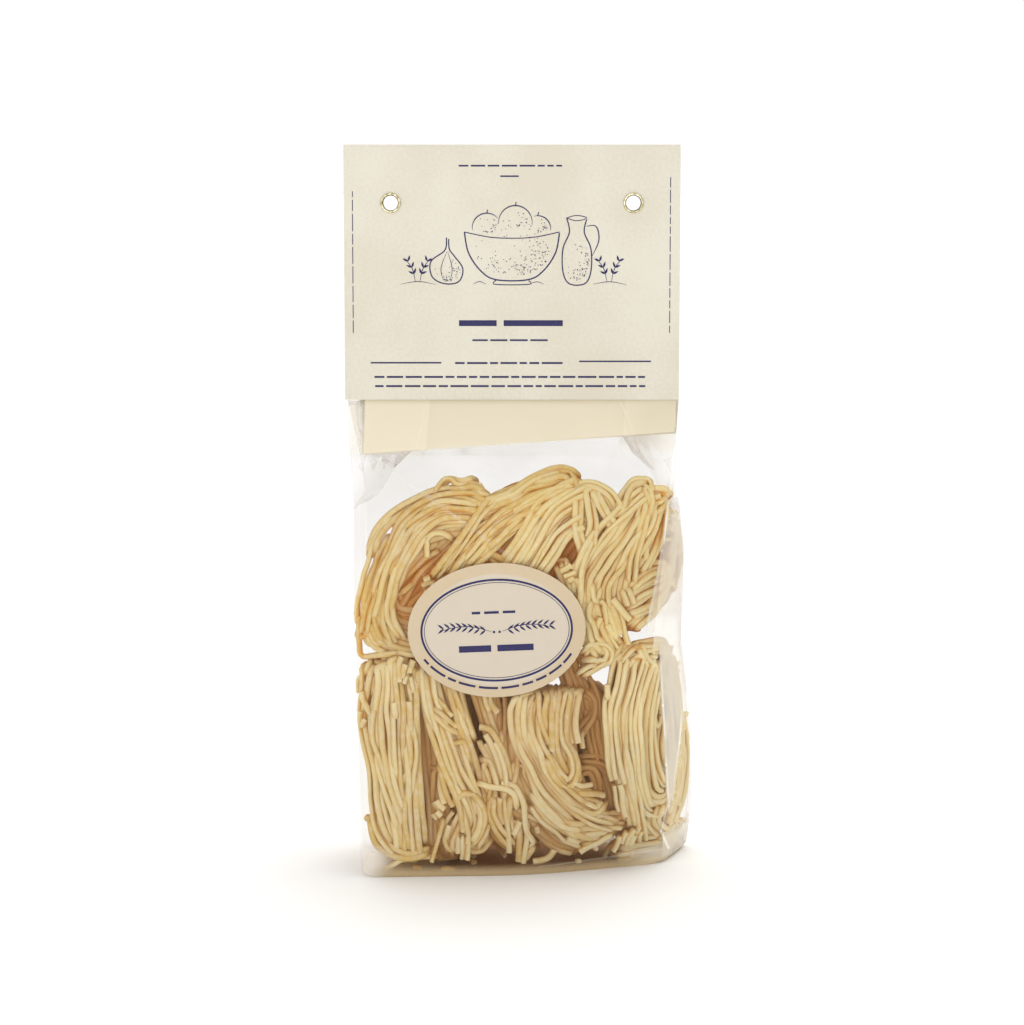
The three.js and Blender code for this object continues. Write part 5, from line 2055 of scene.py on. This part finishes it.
@dataclass
class CardPrint:
    """The header's print: rules, lines of small text as bars, and a still life."""

    paper: Piece
    ink: Material

    TEXT = ((-19.0, 17.8, 252.5, 0.6, 3), (-4.2, 2.4, 248.8, 0.55), (-19.0, -5.5, 196.5, 2.1),
            (-3.0, 18.2, 196.5, 2.1), (-14.2, 12.8, 190.4, 0.65, 5), (-50.7, -25.4, 182.3, 0.55),
            (24.1, 49.9, 182.8, 0.55), (-20.4, 19.3, 182.2, 0.7, 8), (-49.4, 47.8, 177.2, 0.7, 13),
            (-49.2, 47.9, 173.9, 0.7, 21))  # ends, middle and height of each rule, and of words their seed
    MARGIN_WORDS = (2.2, 6.5)
    MARGIN_HEIGHT = 0.3
    MARGINS = ((-56.9, 193.0, 243.5), (56.5, 193.0, 248.5))  # each one's X, foot and top
    SEEDS = (44, 34)  # of the still life and of the margins
    SPRIGS = ((-34.5, -1), (-33.0, 1), (34.0, -1), (35.5, 1))  # each one's X and the way it bends
    SPRIG_FOOT = 211.0
    GROUND = ((-40, -27), (-14, -9), (6, 12), (29, 41))  # the ends of the strokes that things stand on
    DOT_TURNS = (-45, 62)  # about which angle a form's dots lie, and how far off it
    DOT_DEPTH = 0.28  # how far inside its outline they lie
    DOT_EDGE = 0.95  # how near its outline the outermost ones come
    DOT_LEAST = 0.05  # how far from its middle they stay
    DOT_SIZES = (0.22, 0.36)

    def build(self) -> None:
        """Print the card."""
        text = Printing("card_text", self.paper)
        for left, right, z, height, *seed in self.TEXT:
            if seed:
                text.words(left, right, z, height, *seed)
            else:
                text.bar(left, right, z, height)
        text.build(self.ink)
        self.motif()
        self.margins()

    def motif(self) -> None:
        """Print the still life in fine lines: a bowl of fruit, a jug, a garlic bulb and sprigs."""
        art = Printing("card_motif", self.paper)
        chance = random.Random(self.SEEDS[0])
        self.fruit_bowl(art, chance)
        self.jug(art, chance)
        self.garlic(art, chance)
        for x, way in self.SPRIGS:
            self.sprig(art, x, self.SPRIG_FOOT, way)
        for left, right in self.GROUND:
            art.curve([(left, 210.4), ((left + right) / 2, 210.9 + chance.random() * 0.5), (right, 210.2)],
                      0.25, tapered=True)
        art.build(self.ink)

    def stipple(self, art: Printing, chance: random.Random, middle: Pair, half: Pair, count: int) -> None:
        """Shade the lower right of a round form with small dots.

        Args:
            art: The print.
            chance: The print's own chances.
            middle, half: The form's middle and half sizes.
            count: How many dots there are.
        """
        for _ in range(count):
            angle = math.radians(chance.gauss(*self.DOT_TURNS))
            reach = 1 - abs(chance.gauss(0, self.DOT_DEPTH))
            if reach > self.DOT_LEAST:
                art.dot(middle[0] + half[0] * reach * self.DOT_EDGE * math.cos(angle),
                        middle[1] + half[1] * reach * self.DOT_EDGE * math.sin(angle),
                        chance.uniform(*self.DOT_SIZES))

    def fruit_bowl(self, art: Printing, chance: random.Random) -> None:
        """Draw the bowl and the round fruit in it, the middle one in front."""
        front = (1.2, 232.4, 6.0)
        for x, z, size in ((-9.0, 230.5, 5.2), front, (9.2, 230.2, 4.6)):
            arc = [(x + size * math.cos(math.radians(a)), z + size * math.sin(math.radians(a)))
                   for a in range(-8, 189, 7)]
            seen = [(u, v) for u, v in arc
                    if size == front[2] or math.hypot(u - front[0], v - front[1]) > front[2] + 0.3]
            art.curve(seen, 0.45, tapered=True)
            art.curve([(x, z + size), (x + 0.4, z + size + 1.6)], 0.35)
            self.stipple(art, chance, (x, z + size * 0.2), (size * 0.8, size * 0.6), 26)
        art.curve([(-17, 229), (-15.5, 221.5), (-11, 215), (-5.5, 212), (5.5, 212), (11, 215), (15.5, 221.5),
                   (17, 229)], 0.5)
        art.curve([(-17, 229), (-8, 227.2), (0, 226.8), (8, 227.2), (17, 229)], 0.35)
        art.curve([(-5.5, 212), (-6.2, 210.4), (6.2, 210.4), (5.5, 212)], 0.35)
        self.stipple(art, chance, (0, 222), (14, 9), 170)

    def jug(self, art: Printing, chance: random.Random) -> None:
        """Draw the jug at the right."""
        art.curve([(19.5, 234), (20.5, 229), (18.2, 223), (18.2, 215), (20.5, 210.6), (26, 210.6),
                   (28.2, 215), (28.2, 223), (25.8, 229), (26.8, 234)], 0.45)
        art.curve([(19.5, 234), (23, 233), (26.8, 234), (23, 234.9), (19.5, 234)], 0.3)
        art.curve([(26.4, 231), (30, 231), (31, 226), (28.4, 220)], 0.45, tapered=True)
        self.stipple(art, chance, (23.2, 219), (4.6, 8), 70)

    def garlic(self, art: Printing, chance: random.Random) -> None:
        """Draw the garlic bulb at the left."""
        art.curve([(-23.4, 227), (-24, 222.5), (-29, 218.5), (-28.5, 213), (-24, 210.6), (-19, 211.4),
                   (-17.6, 216), (-20.6, 220.4), (-22.4, 223), (-22.6, 227)], 0.45)
        art.curve([(-23.3, 222), (-25.4, 216), (-24.4, 211.4)], 0.25, tapered=True)
        art.curve([(-23, 222), (-21.4, 216), (-22.2, 211.4)], 0.25, tapered=True)
        self.stipple(art, chance, (-23.2, 215.4), (5, 4.4), 50)

    def sprig(self, art: Printing, x: float, z: float, way: int) -> None:
        """Draw a small sprig.

        Args:
            art: The print.
            x, z: Where it grows from.
            way: 1 where it bends to the right, or -1.
        """
        art.curve([(x, z), (x + 1.2 * way, z + 5), (x + 4.2 * way, z + 9)], 0.3, tapered=True)
        for share in (0.35, 0.6, 0.85):
            for side in (-1, 1):
                art.leaf(x + (1.0 + 2.2 * share * share) * way * share * 1.2, z + 9 * share,
                         90 - way * 25 + side * 42, 2.2, 0.8)

    def margins(self) -> None:
        """Print the two upright lines of small text at the card's sides."""
        sides = Printing("card_margins", self.paper)
        chance = random.Random(self.SEEDS[1])
        for x, low, high in self.MARGINS:
            for start, end in dashes(chance, low, high, self.MARGIN_WORDS, Printing.WORD_GAP):
                sides.stroke([(x, start), (x, end)], [self.MARGIN_HEIGHT] * 2)
        sides.build(self.ink)


@dataclass
class StickerPrint:
    """The sticker's print: two rings, two leafy sprays, bars for words, and an arc of small text."""

    paper: Piece
    ink: Material
    centre: Pair
    tilt: float

    RINGS = (((26.6, 18.0), 0.75), ((25.6, 17.0), 0.22))  # each ring's half sizes and width
    ARC = (29.2, 20.7)  # half the width and height of the oval that the small text runs along
    BARS = ((-8.6, -5.6, 6.4, 0.9), (-4.2, 1.0, 6.4, 0.9), (2.4, 6.8, 6.4, 0.9),
            (-13.6, -2.2, -6.4, 2.3), (0.0, 12.8, -6.4, 2.3))  # each bar's ends, middle and height
    BAR_STEP = 3.0
    STEM = ((2.0, -0.4), (8.0, 1.4), (14.0, 1.6), (20.5, 0.2))
    STEM_ARCH = (-0.4, 2.0, 18.5, 0.8)  # its foot, its rise, its length, and how much of a half wave it is
    LEAVES = 8
    LEAF = (2.7, 0.75)
    LEAF_TURN = 38  # how far leaves stand off their stem, in degrees
    FIRST_LEAF = 4.0
    LEAF_STEP = 2.1
    BUD = (1.0, -0.6, 0.8)  # the place and the size of the dot between the sprays

    def build(self) -> None:
        """Print the sticker."""
        rings = Printing("sticker_print", self.paper)
        for half, width in self.RINGS:
            line = [oval_point(self.centre, half, self.tilt, a) for a in range(0, 360, 4)]
            rings.stroke(line, [width] * len(line), closed=True)
        rings.arc_words(self.centre, self.ARC, self.tilt, start=207, end=333, height=0.8, seed=55)
        for bar in self.BARS:
            self.slanted_bar(rings, *bar)
        for way in (-1, 1):
            self.spray(rings, way)
        rings.build(self.ink)

    def place(self, x: float, z: float) -> Pair:
        """A point of the sticker, turned with it, from its place off the sticker's middle."""
        return placed(self.centre, self.tilt, x, z)

    def slanted_bar(self, print_on: Printing, left: float, right: float, up: float, height: float) -> None:
        """Print a bar that is turned with the sticker.

        Args:
            print_on: The print.
            left, right, up: Its ends and its middle, from the sticker's middle.
            height: Its height.
        """
        steps = max(2, round((right - left) / self.BAR_STEP))
        line = [self.place(left + (right - left) * i / steps, up) for i in range(steps + 1)]
        print_on.stroke(line, [height] * (steps + 1))

    def spray(self, print_on: Printing, way: int) -> None:
        """Print a leafy spray that curves outwards from the middle.

        Args:
            print_on: The print.
            way: 1 for the right one, or -1.
        """
        print_on.curve([self.place(x * way, z) for x, z in self.STEM], 0.3, tapered=True)
        foot, rise, reach, share = self.STEM_ARCH
        for number in range(self.LEAVES):
            x = self.FIRST_LEAF + number * self.LEAF_STEP
            z = foot + rise * math.sin((x - self.STEM[0][0]) / reach * math.pi * share)
            for side in (-1, 1):
                turn = (90 - way * 90) + self.tilt + way * side * self.LEAF_TURN
                print_on.leaf(*self.place(x * way, z), turn, *self.LEAF)
        x, z, size = self.BUD
        print_on.dot(*self.place(way * x, z), size)


# ---- Studio -----------------------------------------------------------------------------------


@dataclass(frozen=True)
class Studio:
    """A pale floor, soft light from all round, and the camera."""

    eye: Place = (0.0, -1.0, 0.25)
    target: Place = (0.0, 0.0, 0.128)
    lens: float = 97.8
    backdrop: float = 1.0
    sky: float = 0.38
    sun: float = 2.4
    key: float = 3.4
    fill: float = 1.8
    front: float = 4.8

    SENSOR = 36.0
    FLOOR = -0.02  # its height, in millimetres, as is its reach
    FLOOR_REACH = 30000.0

    def build(self) -> None:
        """Make the camera, the floor and the lights."""
        self.camera()
        self.floor()
        self.light()

    def camera(self) -> None:
        """Make the camera and look through it."""
        data = bpy.data.cameras.new("camera")
        data.lens = self.lens
        data.sensor_width = self.SENSOR
        camera = bpy.data.objects.new("camera", data)
        camera.location = self.eye
        camera.rotation_euler = (Vector(self.target) - Vector(self.eye)).to_track_quat("-Z", "Y").to_euler()
        bpy.context.scene.collection.objects.link(camera)
        bpy.context.scene.camera = camera

    def floor(self) -> None:
        """Make the floor."""
        reach = (-self.FLOOR_REACH, self.FLOOR_REACH)
        points = [Vector((x, y, self.FLOOR)) for y in reach for x in reach]
        floor = mesh_piece("floor", points, [[0, 1, 3, 2]], FloorFinish().build())

    def light(self) -> None:
        """Light the scene from a white sky, a soft sun overhead and three soft panels in front."""
        scene = bpy.context.scene
        scene.view_settings.view_transform = "Standard"
        world = bpy.data.worlds.new("studio")
        scene.world = world
        world.use_nodes = True
        nodes = NodeTree(world.node_tree)
        background = world.node_tree.nodes["Background"]
        path = nodes.node("LightPath").outputs
        seen = nodes.math("MAXIMUM", path["Is Camera Ray"], path["Is Glossy Ray"])
        strength = nodes.plus(nodes.times(seen, self.backdrop - self.sky), self.sky)
        nodes.feed(background, Color=(1.0, 1.0, 1.0, 1.0), Strength=strength)
        self.lamp("overhead", "SUN", (0.1, 0.35, 1.0), self.sun, angle=math.radians(70))
        self.lamp("key", "AREA", (-0.7, -1.0, 0.9), self.key, size=0.7)
        self.lamp("fill", "AREA", (0.9, -1.0, 0.5), self.fill, size=0.9)
        self.lamp("front", "AREA", (-0.15, -1.3, 0.2), self.front, size=0.6)

    def lamp(self, name: str, kind: str, place: Place, power: float, **shape: float) -> None:
        """Add a lamp that shines on the pack.

        Args:
            name: The lamp's name.
            kind: Its type.
            place: Where it stands, in metres.
            power: Its strength.
            shape: Its size or angle.
        """
        data = bpy.data.lights.new(name, kind)
        data.energy = power
        for setting, value in shape.items():
            setattr(data, setting, value)
        lamp = bpy.data.objects.new(name, data)
        lamp.location = place
        aim = Vector(self.target) - Vector(place)
        lamp.rotation_euler = aim.to_track_quat("-Z", "Y").to_euler()
        bpy.context.scene.collection.objects.link(lamp)


# ---- The pack ---------------------------------------------------------------------------------


def dress(node: Piece, material: Material) -> None:
    """Give a frame node a new finish.

    Args:
        node: The node.
        material: The finish.
    """
    for slot in node.material_slots:
        slot.material = material
    log.info("%s dressed in %s", node.name, material.name)


def middle_of(name: str) -> Pair:
    """The middle of a frame node as seen from the front, in X and Z."""
    low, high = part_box(name)
    return (low[0] + high[0]) / 2 / MM, (low[2] + high[2]) / 2 / MM


def main() -> None:
    """Build the pack round the frame."""
    logging.basicConfig(level=logging.INFO, format="%(name)s: %(message)s")
    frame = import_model()
    nodes = frame["nodes"]
    Studio().build()
    dress(nodes["header_card"], CardFinish().build())
    for name in ("eyelet_left", "eyelet_right"):
        dress(nodes[name], NickelFinish(f"nickel_{name}", middle_of(name)).build())
    centre = middle_of("oval_sticker")
    dress(nodes["oval_sticker"], StickerFinish(centre, STICKER_HALF, STICKER_TILT).build())
    ink = InkFinish().build()
    CardPrint(nodes["header_card"], ink).build()
    StickerPrint(nodes["oval_sticker"], ink, centre, STICKER_TILT).build()
    Pasta().build(nodes["bag"])
    Film().build(nodes["bag"])


if __name__ == "__main__":
    main()
